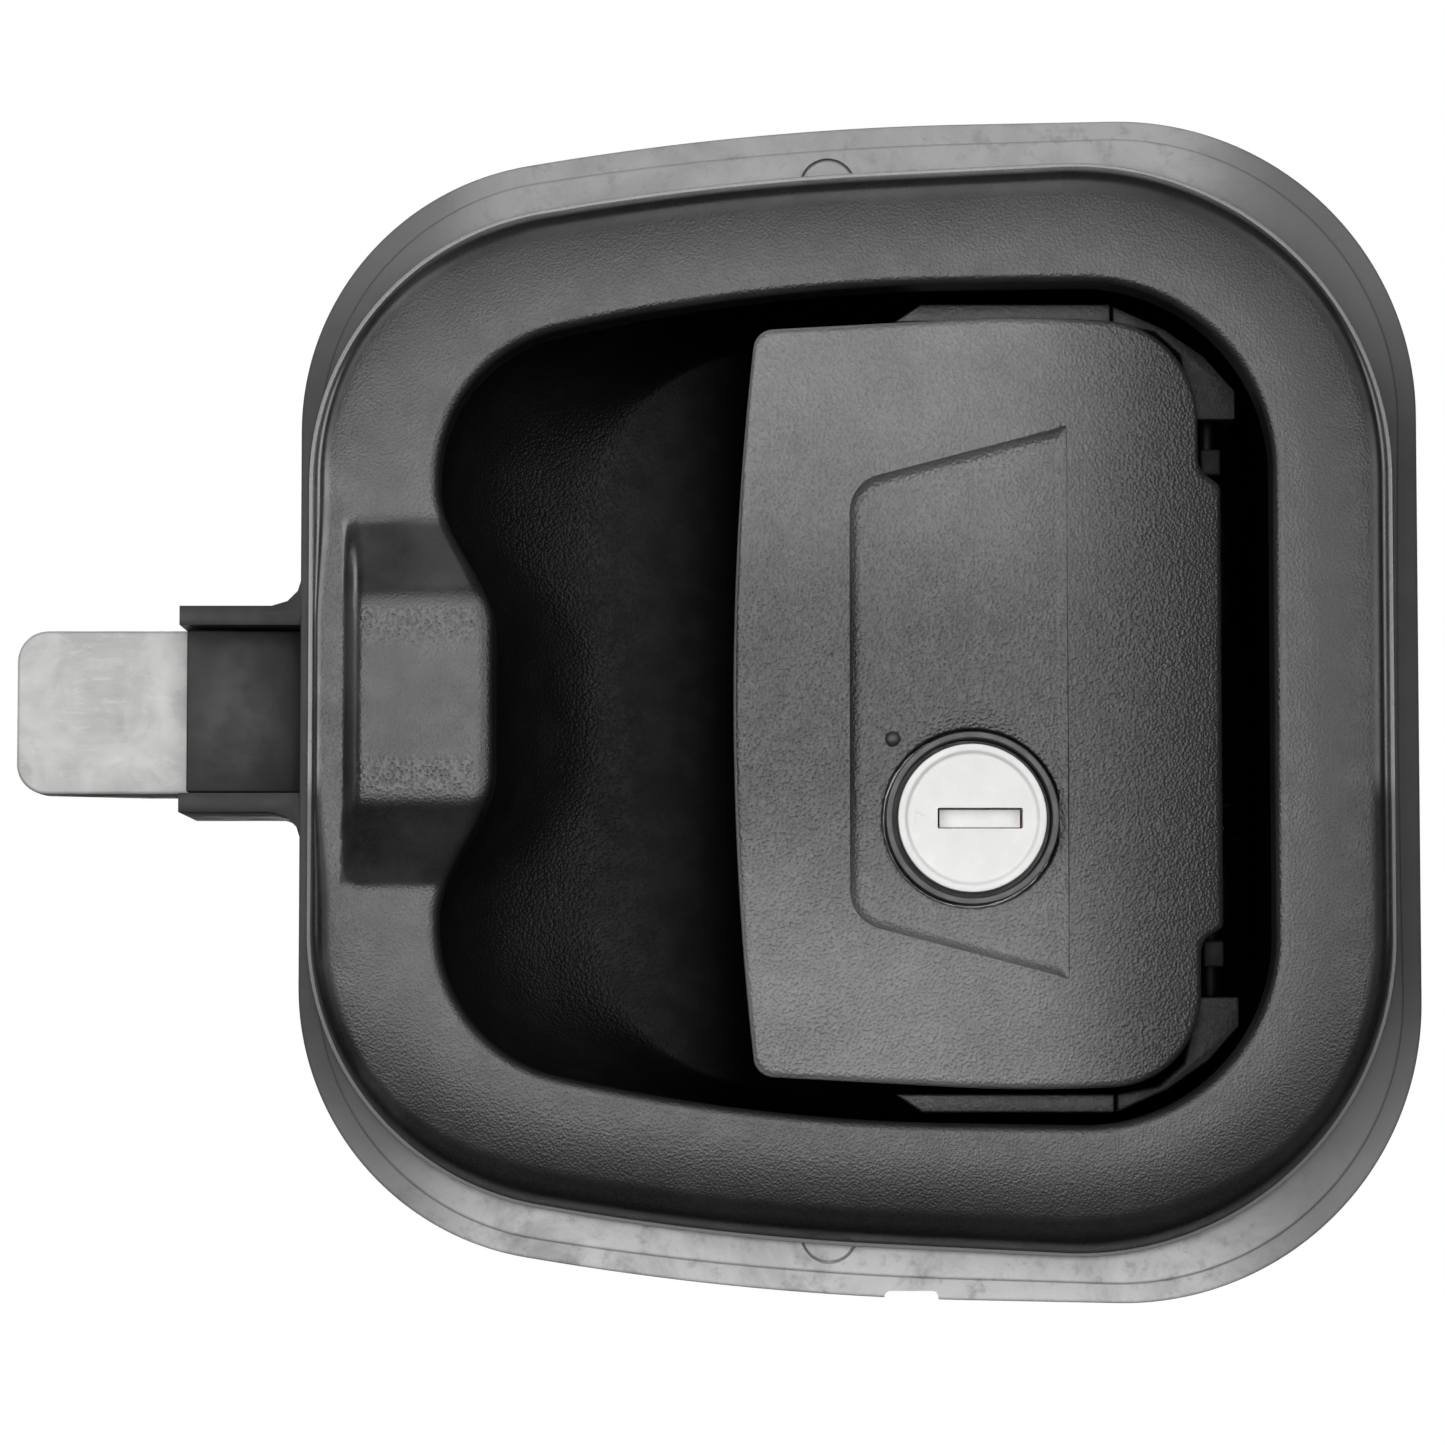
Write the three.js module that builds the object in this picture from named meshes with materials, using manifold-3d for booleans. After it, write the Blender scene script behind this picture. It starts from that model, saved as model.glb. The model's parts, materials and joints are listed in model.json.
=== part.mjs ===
// Flush paddle handle with a slam latch, for the entry door of a utility vehicle.
// Millimetres. +X to the hinge side of the paddle, +Z up, +Y into the door.
// The origin is on the outer face of the door skin, at the middle of the bezel.
import * as THREE from 'three';
import { mergeVertices } from 'three/addons/utils/BufferGeometryUtils.js';
import Module from 'manifold-3d';

const wasm = await Module();
wasm.setup();

// ---------------------------------------------------------------- driving dimensions
const gap = 0.3;                   // clearance between touching pieces

// half outlines, left to right: [x, z, corner radius]; each is mirrored below z = 0
const bezelCorners = [[-69.8, 59.4, 36], [-16.4, 68.6, 340], [70.4, 72.8, 41]];
const rimCorners = [[-52.6, 44.4, 19.6], [-11.2, 53.3, 250], [54.1, 54.3, 24.2]];
const gasketCorners = [[-71.1, 66.1, 35.3], [-11.7, 75.9, 380], [74, 77.6, 38.7]];
const cutoutCorners = [[-62, 57, 14], [62, 63.5, 18]];
const floorCorners = [[-32, 45, 22], [8, 52.6, 60], [52.4, 53.2, 23]];
const caseCorners = [[-71, 20, 5], [-46, 24, 8], [-28, 33, 8], [63.4, 33, 10]];

const bezel = { base: -2.5, lip: -4.2, crown: -12.2, wallEnd: -6, hump: 5, humpTop: 12.7, humpFoot: 23.5 };
const humpShift = { reach: 7.2, inner: 9, outer: 27.5 };   // how far the hump enters the opening
const cup = { rim: -5.7, floor: 16, wall: 2, flange: 7 };
const gasket = { back: 0, front: -2.2, lip: -1.5, lipWidth: 2.7 };

const paddle = { front: -12.6, bendX: 22, bendDrop: 7.4, bendLength: 26, skin: 2.8, skirt: 6.5, skirtLoss: 3.4 };
const paddleCentre = [16, 0];
const hinge = { x: 47, y: 3, radius: 2, half: 42.6 };

const lock = { x: 15.5, z: -14.9, face: 9.45, bore: 10.1, collar: 11.05, hole: 11.4 };
const keySlot = { x: 1, width: 11.1, height: 2.9 };

const bolt = { tip: -109, tail: -70, half: 10.75, front: 8, back: 18.9, corner: 4, tipThickness: 4, rampLength: 16 };
const arm = { left: -87, right: -71, inner: 10.95, outer: 13.45, front: 1, back: 24.4 };
const link = { front: 19.2, back: 20.8, half: 6.5, rivetX: -75, rivetZ: 4.2 };
const crank = { x: 42.5, up: 16, down: 20, front: 23.6, back: 25.6, hub: 6, eye: 4, pin: 1.5 };
const caseDepth = { front: 18.4, back: 26, wall: 2.4, tower: 2 };
const cover = { front: 26.3, back: 28.4 };
const stopWall = { x0: -57.2, x1: -55.2 };

// ---------------------------------------------------------------- materials
function material(name, color, roughness, metalness) {
  const made = new THREE.MeshStandardMaterial({ color, roughness, metalness });
  made.name = name;
  return made;
}
const bezelPlastic = material('bezel_plastic', 0x2c2c2d, 0.55, 0);
const cupPlastic = material('cup_plastic', 0x0d0d0e, 0.6, 0);
const paddlePlastic = material('paddle_plastic', 0x3a3a3b, 0.55, 0);
const ledgePlastic = material('ledge_plastic', 0x39393a, 0.7, 0);
const casePlastic = material('case_plastic', 0x232324, 0.6, 0);
const gasketRubber = material('gasket_rubber', 0x6d6d6d, 0.8, 0);
const collarPlastic = material('collar_plastic', 0x2a2a2b, 0.4, 0);
const lockMetal = material('lock_metal', 0xd6d6d4, 0.3, 1);
const boltMetal = material('bolt_metal', 0xa9a9a6, 0.45, 1);
const steel = material('steel', 0x8f8f8d, 0.4, 1);
const springSteel = material('spring_steel', 0x6f6f70, 0.35, 1);
const brass = material('brass', 0xb08d4a, 0.35, 1);

// ---------------------------------------------------------------- outlines
function mirrored(half) {
  return [...half, ...[...half].reverse().map(([x, z, r]) => [x, -z, r])];
}

// closed polygon with an arc at each corner, as a Shape
function rounded(corners) {
  const shape = new THREE.Shape();
  corners.forEach(([x, y, radius], i) => {
    const corner = new THREE.Vector2(x, y);
    const before = corners[(i + corners.length - 1) % corners.length];
    const after = corners[(i + 1) % corners.length];
    const a = new THREE.Vector2(before[0] - x, before[1] - y).normalize();
    const b = new THREE.Vector2(after[0] - x, after[1] - y).normalize();
    const angle = Math.acos(THREE.MathUtils.clamp(a.dot(b), -1, 1));
    const start = corner.clone().addScaledVector(a, radius / Math.tan(angle / 2));
    const middle = a.clone().add(b).normalize().multiplyScalar(radius / Math.sin(angle / 2)).add(corner);
    const end = corner.clone().addScaledVector(b, radius / Math.tan(angle / 2));
    const turn = a.x * b.y - a.y * b.x > 0;
    if (i === 0) shape.moveTo(start.x, start.y);
    else shape.lineTo(start.x, start.y);
    if (radius > 0) {
      const from = Math.atan2(start.y - middle.y, start.x - middle.x);
      const to = Math.atan2(end.y - middle.y, end.x - middle.x);
      shape.absarc(middle.x, middle.y, radius, from, to, turn);
    }
  });
  shape.closePath();
  return shape;
}

// the ray angles of every ring: close together over the hump, even elsewhere
function rayAngles(fine, coarse) {
  const half = THREE.MathUtils.degToRad(30);
  const angles = [];
  for (let i = 0; i < fine; i += 1) angles.push(Math.PI - half + (2 * half * i) / fine);
  for (let i = 0; i < coarse; i += 1) angles.push(Math.PI + half + ((2 * Math.PI - 2 * half) * i) / coarse);
  return angles;
}

// points where rays from a centre meet an outline
function rayLoop(corners, angles, centre = [0, 0]) {
  const points = rounded(corners).getPoints(24);
  return angles.map((angle) => {
    const dx = Math.cos(angle);
    const dz = Math.sin(angle);
    let best = 0;
    points.forEach((p, i) => {
      const q = points[(i + 1) % points.length];
      const ax = p.x - centre[0];
      const az = p.y - centre[1];
      const ex = q.x - p.x;
      const ez = q.y - p.y;
      const cross = dx * ez - dz * ex;
      if (Math.abs(cross) < 1e-9) return;
      const reach = (ax * ez - az * ex) / cross;
      const along = (ax * dz - az * dx) / cross;
      if (along >= -1e-6 && along <= 1 + 1e-6 && reach > best) best = reach;
    });
    return [centre[0] + best * dx, centre[1] + best * dz];
  });
}

function smooth(t) {
  const s = THREE.MathUtils.clamp(t, 0, 1);
  return s * s * (3 - 2 * s);
}

// the hump pushes the left rim of the opening to the right
function withHump(loop) {
  return loop.map(([x, z]) => {
    const t = (humpShift.outer - Math.abs(z)) / (humpShift.outer - humpShift.inner);
    return x < 0 ? [x + humpShift.reach * smooth(t), z] : [x, z];
  });
}

// ---------------------------------------------------------------- solids
function ringMesh(rings, capped) {
  const count = rings[0].length;
  const positions = rings.flat(2);
  const index = [];
  const last = capped ? rings.length - 1 : rings.length;
  for (let r = 0; r < last; r += 1) {
    const a = r * count;
    const b = ((r + 1) % rings.length) * count;
    for (let i = 0; i < count; i += 1) {
      const j = (i + 1) % count;
      index.push(a + i, a + j, b + j, a + i, b + j, b + i);
    }
  }
  if (capped) {
    [0, rings.length - 1].forEach((r) => {
      const hub = positions.length / 3;
      const sum = rings[r].reduce((s, p) => [s[0] + p[0], s[1] + p[1], s[2] + p[2]], [0, 0, 0]);
      positions.push(sum[0] / count, sum[1] / count, sum[2] / count);
      for (let i = 0; i < count; i += 1) {
        const j = (i + 1) % count;
        if (r === 0) index.push(r * count + j, r * count + i, hub);
        else index.push(r * count + i, r * count + j, hub);
      }
    });
  }
  const geometry = new THREE.BufferGeometry();
  geometry.setAttribute('position', new THREE.Float32BufferAttribute(positions, 3));
  geometry.setIndex(signedVolume(positions, index) < 0 ? index.reverse() : index);
  return geometry;
}

function signedVolume(p, index) {
  let total = 0;
  for (let i = 0; i < index.length; i += 3) {
    const [a, b, c] = [index[i] * 3, index[i + 1] * 3, index[i + 2] * 3];
    total += p[a] * (p[b + 1] * p[c + 2] - p[b + 2] * p[c + 1]);
    total += p[a + 1] * (p[b + 2] * p[c] - p[b] * p[c + 2]);
    total += p[a + 2] * (p[b] * p[c + 1] - p[b + 1] * p[c]);
  }
  return total / 6;
}

function solid(geometry) {
  const bare = geometry.clone();
  bare.deleteAttribute('normal');
  bare.deleteAttribute('uv');
  const merged = mergeVertices(bare, 1e-5);
  return new wasm.Manifold(new wasm.Mesh({
    numProp: 3,
    vertProperties: new Float32Array(merged.attributes.position.array),
    triVerts: new Uint32Array(merged.index.array),
  }));
}

function unsolid(manifold) {
  const mesh = manifold.getMesh();
  const geometry = new THREE.BufferGeometry();
  geometry.setAttribute('position', new THREE.Float32BufferAttribute(mesh.vertProperties, 3));
  geometry.setIndex(Array.from(mesh.triVerts));
  return geometry;
}

function cut(base, ...tools) {
  return unsolid(tools.reduce((body, tool) => body.subtract(solid(tool)), solid(base)));
}

function join(base, ...others) {
  return unsolid(others.reduce((body, other) => body.add(solid(other)), solid(base)));
}

// a shape drawn in (x, z), as a plate between two depths
function plate(shape, front, back, segments = 3) {
  const geometry = new THREE.ExtrudeGeometry(shape, { depth: back - front, bevelEnabled: false, curveSegments: segments });
  return geometry.rotateX(Math.PI / 2).translate(0, back, 0);
}

// a shape drawn in (x, y), standing between two heights
function column(shape, low, high, segments = 3) {
  const geometry = new THREE.ExtrudeGeometry(shape, { depth: high - low, bevelEnabled: false, curveSegments: segments });
  return geometry.translate(0, 0, low);
}

function block(x0, x1, y0, y1, z0, z1) {
  const geometry = new THREE.BoxGeometry(x1 - x0, y1 - y0, z1 - z0);
  return geometry.translate((x0 + x1) / 2, (y0 + y1) / 2, (z0 + z1) / 2);
}

function rod(x, z, radius, front, back, sides = 12) {
  return new THREE.CylinderGeometry(radius, radius, back - front, sides).translate(x, (front + back) / 2, z);
}

function post(x, y, radius, low, high, sides = 12) {
  const geometry = new THREE.CylinderGeometry(radius, radius, high - low, sides).rotateX(Math.PI / 2);
  return geometry.translate(x, y, (low + high) / 2);
}

// a turned piece: profile of [radius, y] from axis to axis, about a line along Y
function turned(x, z, profile, sides = 24) {
  const points = profile.map(([radius, y]) => new THREE.Vector2(radius, y));
  if (THREE.ShapeUtils.area(points) < 0) points.reverse();
  return new THREE.LatheGeometry(points, sides).translate(x, 0, z);
}

// pan-head screw along Y with a cross recess; the head is on the +Y side at headY
function screw(x, z, headY, length, radius) {
  const head = radius * 2.1;
  const height = radius * 1.2;
  const body = turned(x, z, [
    [0, headY - length], [radius * 0.7, headY - length], [radius, headY - length + radius],
    [radius, headY], [head, headY], [head, headY + height * 0.6], [head * 0.7, headY + height], [0, headY + height],
  ], 10);
  const arm = head * 0.65;
  const half = radius * 0.2;
  const top = headY + height + 1;
  const bottom = headY + height * 0.35;
  return cut(
    body,
    block(x - arm, x + arm, bottom, top, z - half, z + half),
    block(x - half, x + half, bottom, top, z - arm, z + arm),
  );
}

// coil spring about a centre line; place() turns (radial x, radial y, along) into a point
function coil(radius, wire, turns, length, place, tail = []) {
  const points = [];
  const steps = 8;
  for (let i = 0; i <= turns * steps; i += 1) {
    const angle = (2 * Math.PI * i) / steps;
    points.push(place(radius * Math.cos(angle), radius * Math.sin(angle), (length * i) / (turns * steps)));
  }
  const path = new THREE.CatmullRomCurve3([...points, ...tail]);
  const section = new THREE.Shape();
  section.absarc(0, 0, wire, 0, 2 * Math.PI);
  return new THREE.ExtrudeGeometry(section, {
    steps: turns * steps, extrudePath: path, curveSegments: 3, bevelEnabled: false,
  });
}

// ---------------------------------------------------------------- door side
const angles = rayAngles(18, 36);
const outerLoop = rayLoop(mirrored(bezelCorners), angles);
const rimLoop = withHump(rayLoop(mirrored(rimCorners), angles));
const floorLoop = rayLoop(mirrored(floorCorners), angles);

function between(a, b, t) {
  return a.map((v, i) => v + (b[i] - v) * t);
}

function pushedOut([x, z], distance) {
  const length = Math.hypot(x, z);
  return [x + (x / length) * distance, z + (z / length) * distance];
}

// extra height of the hump over the bezel, from 0 to 1
function humpRise(x, z) {
  const ends = 1 - smooth((Math.abs(z) - bezel.humpTop) / (bezel.humpFoot - bezel.humpTop));
  const shoulder = smooth((x + 65.2) / 2.8);
  return x < 0 ? ends * shoulder : 0;
}

// share of the bezel's width that its steep edge takes: most above and below, least beside the hump
function edgeWidth([x, z]) {
  const side = smooth((Math.abs(x) - 45) / 22);
  const middle = 1 - smooth((Math.abs(z) - 10) / 22);
  return 0.2 - side * (x > 0 ? 0.05 : 0.08 + 0.07 * middle);
}

// depth of the bezel's face, from its lip, t = 0, to its crown: a steep edge and then a low dome
function bezelFace(t, width) {
  const edge = 1 - (1 - Math.min(1, t / width)) ** 3;
  const dome = 1 - (1 - Math.min(1, t / 0.8)) ** 2;
  return bezel.lip + (bezel.crown - bezel.lip) * (0.65 * edge + 0.35 * dome);
}

function makeBezel() {
  const ring = (t, depth, raised = false) => outerLoop.map((p, i) => {
    const [x, z] = between(p, rimLoop[i], t);
    const y = depth === undefined ? bezelFace(t, edgeWidth(p)) : depth;
    return [x, y - (raised ? bezel.hump * humpRise(x, z) : 0), z];
  });
  const rings = [
    ring(0, bezel.base), ring(0, bezel.lip),
    ...[0.03, 0.07, 0.12, 0.19, 0.33, 0.52, 0.8].map((t) => ring(t, undefined, true)),
    ring(0.92, bezel.crown, true), ring(0.97, -11.9, true), ring(1, -11, true), ring(1, bezel.wallEnd),
    ring(0.86, bezel.wallEnd), ring(0.86, -9.4, true), ring(0.3, -9, true), ring(0.13, -6), ring(0.13, bezel.base),
  ];
  const bosses = insertPlaces.map(([x, z]) => rod(x, z, 3.6, -10.2, 9));
  const holes = insertPlaces.map(([x, z]) => rod(x, z, 2.5, -2, 9.5, 12));
  const pilots = cupScrewPlaces.map(([x, z]) => rod(x, z, 1.7, -8, -2, 12));
  const posts = cupScrewPlaces.map(([x, z]) => rod(x, z, 3.1, -10.2, -6));
  return cut(join(ringMesh(rings, false), ...bosses, ...posts), ...holes, ...pilots);
}

const insertPlaces = [[-51.4, 48.6], [52.5, 51.9], [-51.4, -48.6], [52.5, -51.9]];
const cupScrewPlaces = [[-25, 56.2], [30, 58.9], [-25, -56.2], [30, -58.9]];

function cupRing(t, y, out) {
  return rimLoop.map((p, i) => {
    const [x, z] = pushedOut(between(p, floorLoop[i], t), out);
    return [x, y, z];
  });
}

// the scoop: along a quarter turn from steep at the rim to level at the floor
function scoop(angle) {
  return [1 - Math.cos(angle), cup.rim + (cup.floor - cup.rim) * Math.sin(angle)];
}

function cupOuter(clear) {
  const rings = [cupRing(0, cup.rim - 10, cup.wall + clear)];
  [0.05, 0.5, 0.85, 1.2, Math.PI / 2].forEach((angle) => {
    const [t, y] = scoop(angle);
    rings.push(cupRing(t, y + cup.wall * Math.sin(angle) + clear, cup.wall + clear));
  });
  return ringMesh(rings, true);
}

function makeCup() {
  const rings = [];
  const stations = [Math.PI / 2, 1.2, 0.85, 0.5, 0.05];
  stations.forEach((angle) => {
    const [t, y] = scoop(angle);
    rings.push(cupRing(t, y, 0));
  });
  rings.push(cupRing(0, cup.rim, 0));
  rings.push(cupRing(0, cup.rim, cup.flange));
  rings.push(cupRing(0, cup.rim + cup.wall, cup.flange));
  rings.push(cupRing(0, cup.rim + cup.wall, cup.wall));
  [...stations].reverse().slice(1).forEach((angle) => {
    const [t, y] = scoop(angle);
    rings.push(cupRing(t, y + cup.wall * Math.sin(angle), cup.wall));
  });
  const screwHoles = cupScrewPlaces.map(([x, z]) => rod(x, z, 1.7, -8, 0, 12));
  const bossHoles = insertPlaces.map(([x, z]) => rod(x, z, 3.9, -8, 8));
  const tailSlot = block(34.5, 50.6, 12, 22, 10.4, 19.6);
  return cut(ringMesh(rings, true), ...screwHoles, ...bossHoles, tailSlot);
}

function makeGasket() {
  const inner = rayLoop(mirrored(cutoutCorners), angles);
  const outer = rayLoop(mirrored(gasketCorners), angles);
  const ring = (loop, inset, y) => loop.map((p) => {
    const [x, z] = pushedOut(p, -inset);
    return [x, y, z];
  });
  const body = ringMesh([
    ring(inner, 0, gasket.back), ring(inner, 0, gasket.front),
    ring(outer, gasket.lipWidth + 0.4, gasket.front), ring(outer, gasket.lipWidth, gasket.lip),
    ring(outer, 0.3, gasket.lip), ring(outer, 0, gasket.lip + 0.4), ring(outer, 0, gasket.back),
  ], false);
  const pegHoles = pegPlaces.map(([x, z]) => rod(x, z, peg.radius + gap, -4, 2, 20));
  const drain = block(4.5, 11.5, gasket.lip - 1, 1, -78, -75.4);
  return cut(body, ...pegHoles, drain);
}

const peg = { radius: 3.4, front: -2, back: 0 };
const pegPlaces = [[-2.6, 68], [-2.6, -68]];

function makePeg([x, z]) {
  return turned(x, z, [[0, peg.back], [peg.radius, peg.back], [peg.radius, peg.front + 0.4],
    [peg.radius - 0.4, peg.front], [0, peg.front]], 20);
}

function makeInsert([x, z]) {
  return turned(x, z, [[1.3, 1], [2.2, 1], [2.2, 4.6], [1.9, 5], [1.9, 5.6], [2.2, 6], [2.2, 9], [1.3, 9], [1.3, 1]], 12);
}

function makeCupScrew([x, z]) {
  return screw(x, z, cup.rim + cup.wall + gap, 4, 1);
}

// ---------------------------------------------------------------- paddle
const paddleCorners = [
  [-17.35, 0, 405], [-12.1, 47.7, 2.6], [22, 49.55, 200], [44.9, 48.6, 12], [45.1, 30.4, 2.5], [48.1, 28.6, 1],
];

function paddleOutline() {
  return [...paddleCorners, ...paddleCorners.slice(1).reverse().map(([x, z, r]) => [x, -z, r])];
}

function paddleFront(x) {
  const bend = Math.max(0, x - paddle.bendX) / paddle.bendLength;
  return paddle.front + paddle.bendDrop * bend * bend;
}

function makePaddleShell() {
  const rays = [];
  const count = 60;
  for (let i = 0; i < count; i += 1) rays.push((2 * Math.PI * i) / count);
  const loop = rayLoop(paddleOutline(), rays, paddleCentre);
  // the skirt is shallow at the hinge, so that it clears the pin as the paddle swings
  const skirtDepth = (x) => paddle.skirt - paddle.skirtLoss * smooth((x - 28) / 12);
  const ring = (scale, depth) => loop.map(([x, z]) => {
    const px = paddleCentre[0] + (x - paddleCentre[0]) * scale;
    return [px, paddleFront(px) + (depth === undefined ? skirtDepth(x) : depth), z * scale];
  });
  const shell = ringMesh([
    ring(0.35, 0), ring(0.62, 0), ring(0.84, 0), ring(0.955, 0.05), ring(0.985, 0.5), ring(1, 1.6),
    ring(1), ring(0.94), ring(0.94, paddle.skin),
    ring(0.84, paddle.skin), ring(0.62, paddle.skin), ring(0.35, paddle.skin),
  ], true);
  const panel = rounded([
    [-0.1, 28, 5], [27.7, 35.3, 0], [27.7, -35.3, 0], [-0.1, -28, 5],
  ]);
  const recess = plate(panel, paddle.front - 5, paddle.front + 0.9, 4);
  const lockHole = rod(lock.x, lock.z, lock.hole, -20, 5, 32);
  const nubHole = rod(nub.x, nub.z, nub.radius + 0.15, -20, -11.2, 10);
  return cut(shell, recess, lockHole, nubHole);
}

const nub = { x: 5.4, z: -4.8, radius: 0.9 };

function makeNub() {
  return turned(nub.x, nub.z, [[0, -11.5], [nub.radius, -11.5], [nub.radius, -11.95], [0.6, -12.4], [0, -12.5]], 12);
}

const backing = { front: -8.9, back: -6.9, left: -6, right: 28, half: 40 };
const knuckle = { radius: 4.3, low: 20, high: 28.3 };

function makeBacking() {
  const outline = rounded([
    [backing.left, backing.half, 3], [backing.right, backing.half, 3],
    [backing.right, -backing.half, 3], [backing.left, -backing.half, 3],
  ]);
  const lever = new THREE.Shape();
  lever.moveTo(20, backing.back - 0.5);
  lever.lineTo(backing.right - 1, backing.front + 0.5);
  lever.lineTo(44, -0.6);
  lever.lineTo(46, hinge.y + 3.5);
  lever.lineTo(40, hinge.y + 3);
  lever.closePath();
  const parts = [];
  [[knuckle.low, knuckle.high], [-knuckle.high, -knuckle.low]].forEach(([low, high]) => {
    parts.push(column(lever, low, high), post(hinge.x, hinge.y, knuckle.radius, low, high, 16));
  });
  return cut(
    join(plate(outline, backing.front, backing.back), ...parts),
    rod(lock.x, lock.z, lock.collar + gap, -12, 0, 24),
    rod(lock.x, lock.z, 13.3, -6, 0, 20),
    post(hinge.x, hinge.y, hinge.radius + gap, -50, 50),
    ...armScrewPlaces.map(([x, z]) => rod(x, z, 1.7, -12, 0, 12)),
  );
}

const armScrewPlaces = [[14.5, 15], [21.5, 15]];
const pullArm = { low: 11, high: 19, tip: 23.2, left: 44.5, right: 49.5 };

function makePullArm() {
  const lever = new THREE.Shape();
  lever.moveTo(10, backing.back + gap);
  lever.lineTo(28, backing.back + gap);
  lever.lineTo(45, -0.4);
  lever.lineTo(pullArm.right, hinge.y);
  lever.lineTo(pullArm.right, pullArm.tip - 1);
  lever.lineTo(pullArm.right - 1, pullArm.tip);
  lever.lineTo(pullArm.left, pullArm.tip);
  lever.lineTo(pullArm.left, 6.5);
  lever.lineTo(26, backing.back + gap + 2);
  lever.lineTo(10, backing.back + gap + 2);
  lever.closePath();
  return cut(
    join(column(lever, pullArm.low, pullArm.high), post(hinge.x, hinge.y, knuckle.radius, pullArm.low, pullArm.high, 16)),
    post(hinge.x, hinge.y, hinge.radius + gap, -50, 50),
    ...armScrewPlaces.map(([x, z]) => rod(x, z, 1.7, -12, 0, 12)),
  );
}

function makeArmScrew([x, z]) {
  return screw(x, z, backing.back + 2 + 2 * gap, 3.6, 1.3);
}

// ---------------------------------------------------------------- key lock
const housing = { front: -12.9, step: -6.2, back: 7.6, barrel: 9.9, core: 8.2 };

function makeLockHousing() {
  return turned(lock.x, lock.z, [
    [lock.bore, housing.front + 0.4], [lock.bore + 0.35, housing.front], [lock.collar - 0.35, housing.front],
    [lock.collar, housing.front + 0.4], [lock.collar, housing.step], [housing.barrel, housing.step],
    [housing.barrel, housing.back], [housing.core, housing.back], [housing.core, -8.8],
    [lock.bore, -8.8], [lock.bore, housing.front + 0.4],
  ], 24);
}

function makeLockNut() {
  return turned(lock.x, lock.z, [[housing.barrel + gap, -5.6], [12.6, -5.6], [13, -5.2], [13, -3.2], [12.6, -2.8],
    [housing.barrel + gap, -2.8], [housing.barrel + gap, -5.6]], 20);
}

const plug = { front: -12.6, dish: -12.1, back: -9.2, coreFront: -8.9, coreBack: 8.4, radius: 7.7 };

function makePlugFace() {
  const face = turned(lock.x, lock.z, [
    [0, plug.back], [lock.face, plug.back], [lock.face, plug.front + 0.35], [lock.face - 0.35, plug.front],
    [lock.face - 0.9, plug.front], [lock.face - 1.3, plug.dish], [0, plug.dish],
  ], 24);
  const x = lock.x + keySlot.x;
  const half = keySlot.height / 2;
  return cut(face, block(x - keySlot.width / 2, x + keySlot.width / 2, -20, 0, lock.z - half, lock.z + half));
}

const shutter = { front: -10.6, thick: 0.6, length: 10.3, height: 2.3 };

function makePlugCore() {
  const x = lock.x + keySlot.x;
  const half = keySlot.width / 2 + 0.4;
  return cut(
    rod(lock.x, lock.z, plug.radius, plug.coreFront, plug.coreBack, 24),
    block(x - half + 0.6, x + half - 0.6, -12, 3, lock.z - 1.8, lock.z + 1.8),
  );
}

function makeShutter() {
  const x = lock.x + keySlot.x;
  const half = shutter.length / 2;
  const rise = shutter.height / 2;
  return block(x - half, x + half, shutter.front, shutter.front + shutter.thick, lock.z - rise, lock.z + rise);
}

function makeCam() {
  const outline = rounded([
    [lock.x - 5, lock.z + 5, 4], [lock.x + 6, lock.z + 5, 4], [lock.x + 4, lock.z - 17, 3], [lock.x - 3, lock.z - 17, 3],
  ]);
  return cut(plate(outline, 8.7, 10.5), rod(lock.x, lock.z, 1.8, 5, 12, 12));
}

// ---------------------------------------------------------------- latch
function makeBolt() {
  const body = rounded([
    [bolt.tip, bolt.half, bolt.corner], [bolt.tail, bolt.half, 0.6], [bolt.tail, -bolt.half, 0.6],
    [bolt.tip, -bolt.half, bolt.corner],
  ]);
  const ramp = new THREE.Shape();
  ramp.moveTo(bolt.tip - 2, bolt.front + bolt.tipThickness - 1.4);
  ramp.lineTo(bolt.tip + bolt.rampLength, bolt.back);
  ramp.lineTo(bolt.tip + bolt.rampLength, bolt.back + 3);
  ramp.lineTo(bolt.tip - 2, bolt.back + 3);
  ramp.closePath();
  return cut(
    plate(body, bolt.front, bolt.back, 4),
    column(ramp, -12, 12),
    rodX(-82, bolt.tail + 1, 13.4, 0, 3.6),
    ...rivetPlaces.map(([x, z]) => rod(x, z, 1.9, 15.5, 20, 12)),
  );
}

function rodX(x0, x1, y, z, radius, sides = 16) {
  const geometry = new THREE.CylinderGeometry(radius, radius, x1 - x0, sides).rotateZ(Math.PI / 2);
  return geometry.translate((x0 + x1) / 2, y, z);
}

const rivetPlaces = [[link.rivetX, link.rivetZ], [link.rivetX, -link.rivetZ]];

function makeRivet([x, z]) {
  return turned(x, z, [[0, 15.9], [1.6, 15.9], [1.6, 21.1], [2.8, 21.1], [2.6, 21.7], [0, 22]], 12);
}

function makeLink() {
  const outline = rounded([
    [-80, link.half, 1.5], [18, link.half, 2], [27, -7, 5], [48, -9, 4], [48, -25.5, 4], [36, -25.5, 5],
    [10, -link.half, 12], [-80, -link.half, 1.5],
  ]);
  const slot = rounded([
    [crank.x - 2.1, -12.8, 2], [crank.x + 2.1, -12.8, 2], [crank.x + 2.1, -22.6, 2], [crank.x - 2.1, -22.6, 2],
  ]);
  return cut(
    plate(outline, link.front, link.back),
    plate(slot, link.front - 2, link.back + 2),
    ...rivetPlaces.map(([x, z]) => rod(x, z, 1.9, 15.5, 24, 12)),
  );
}

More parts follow.
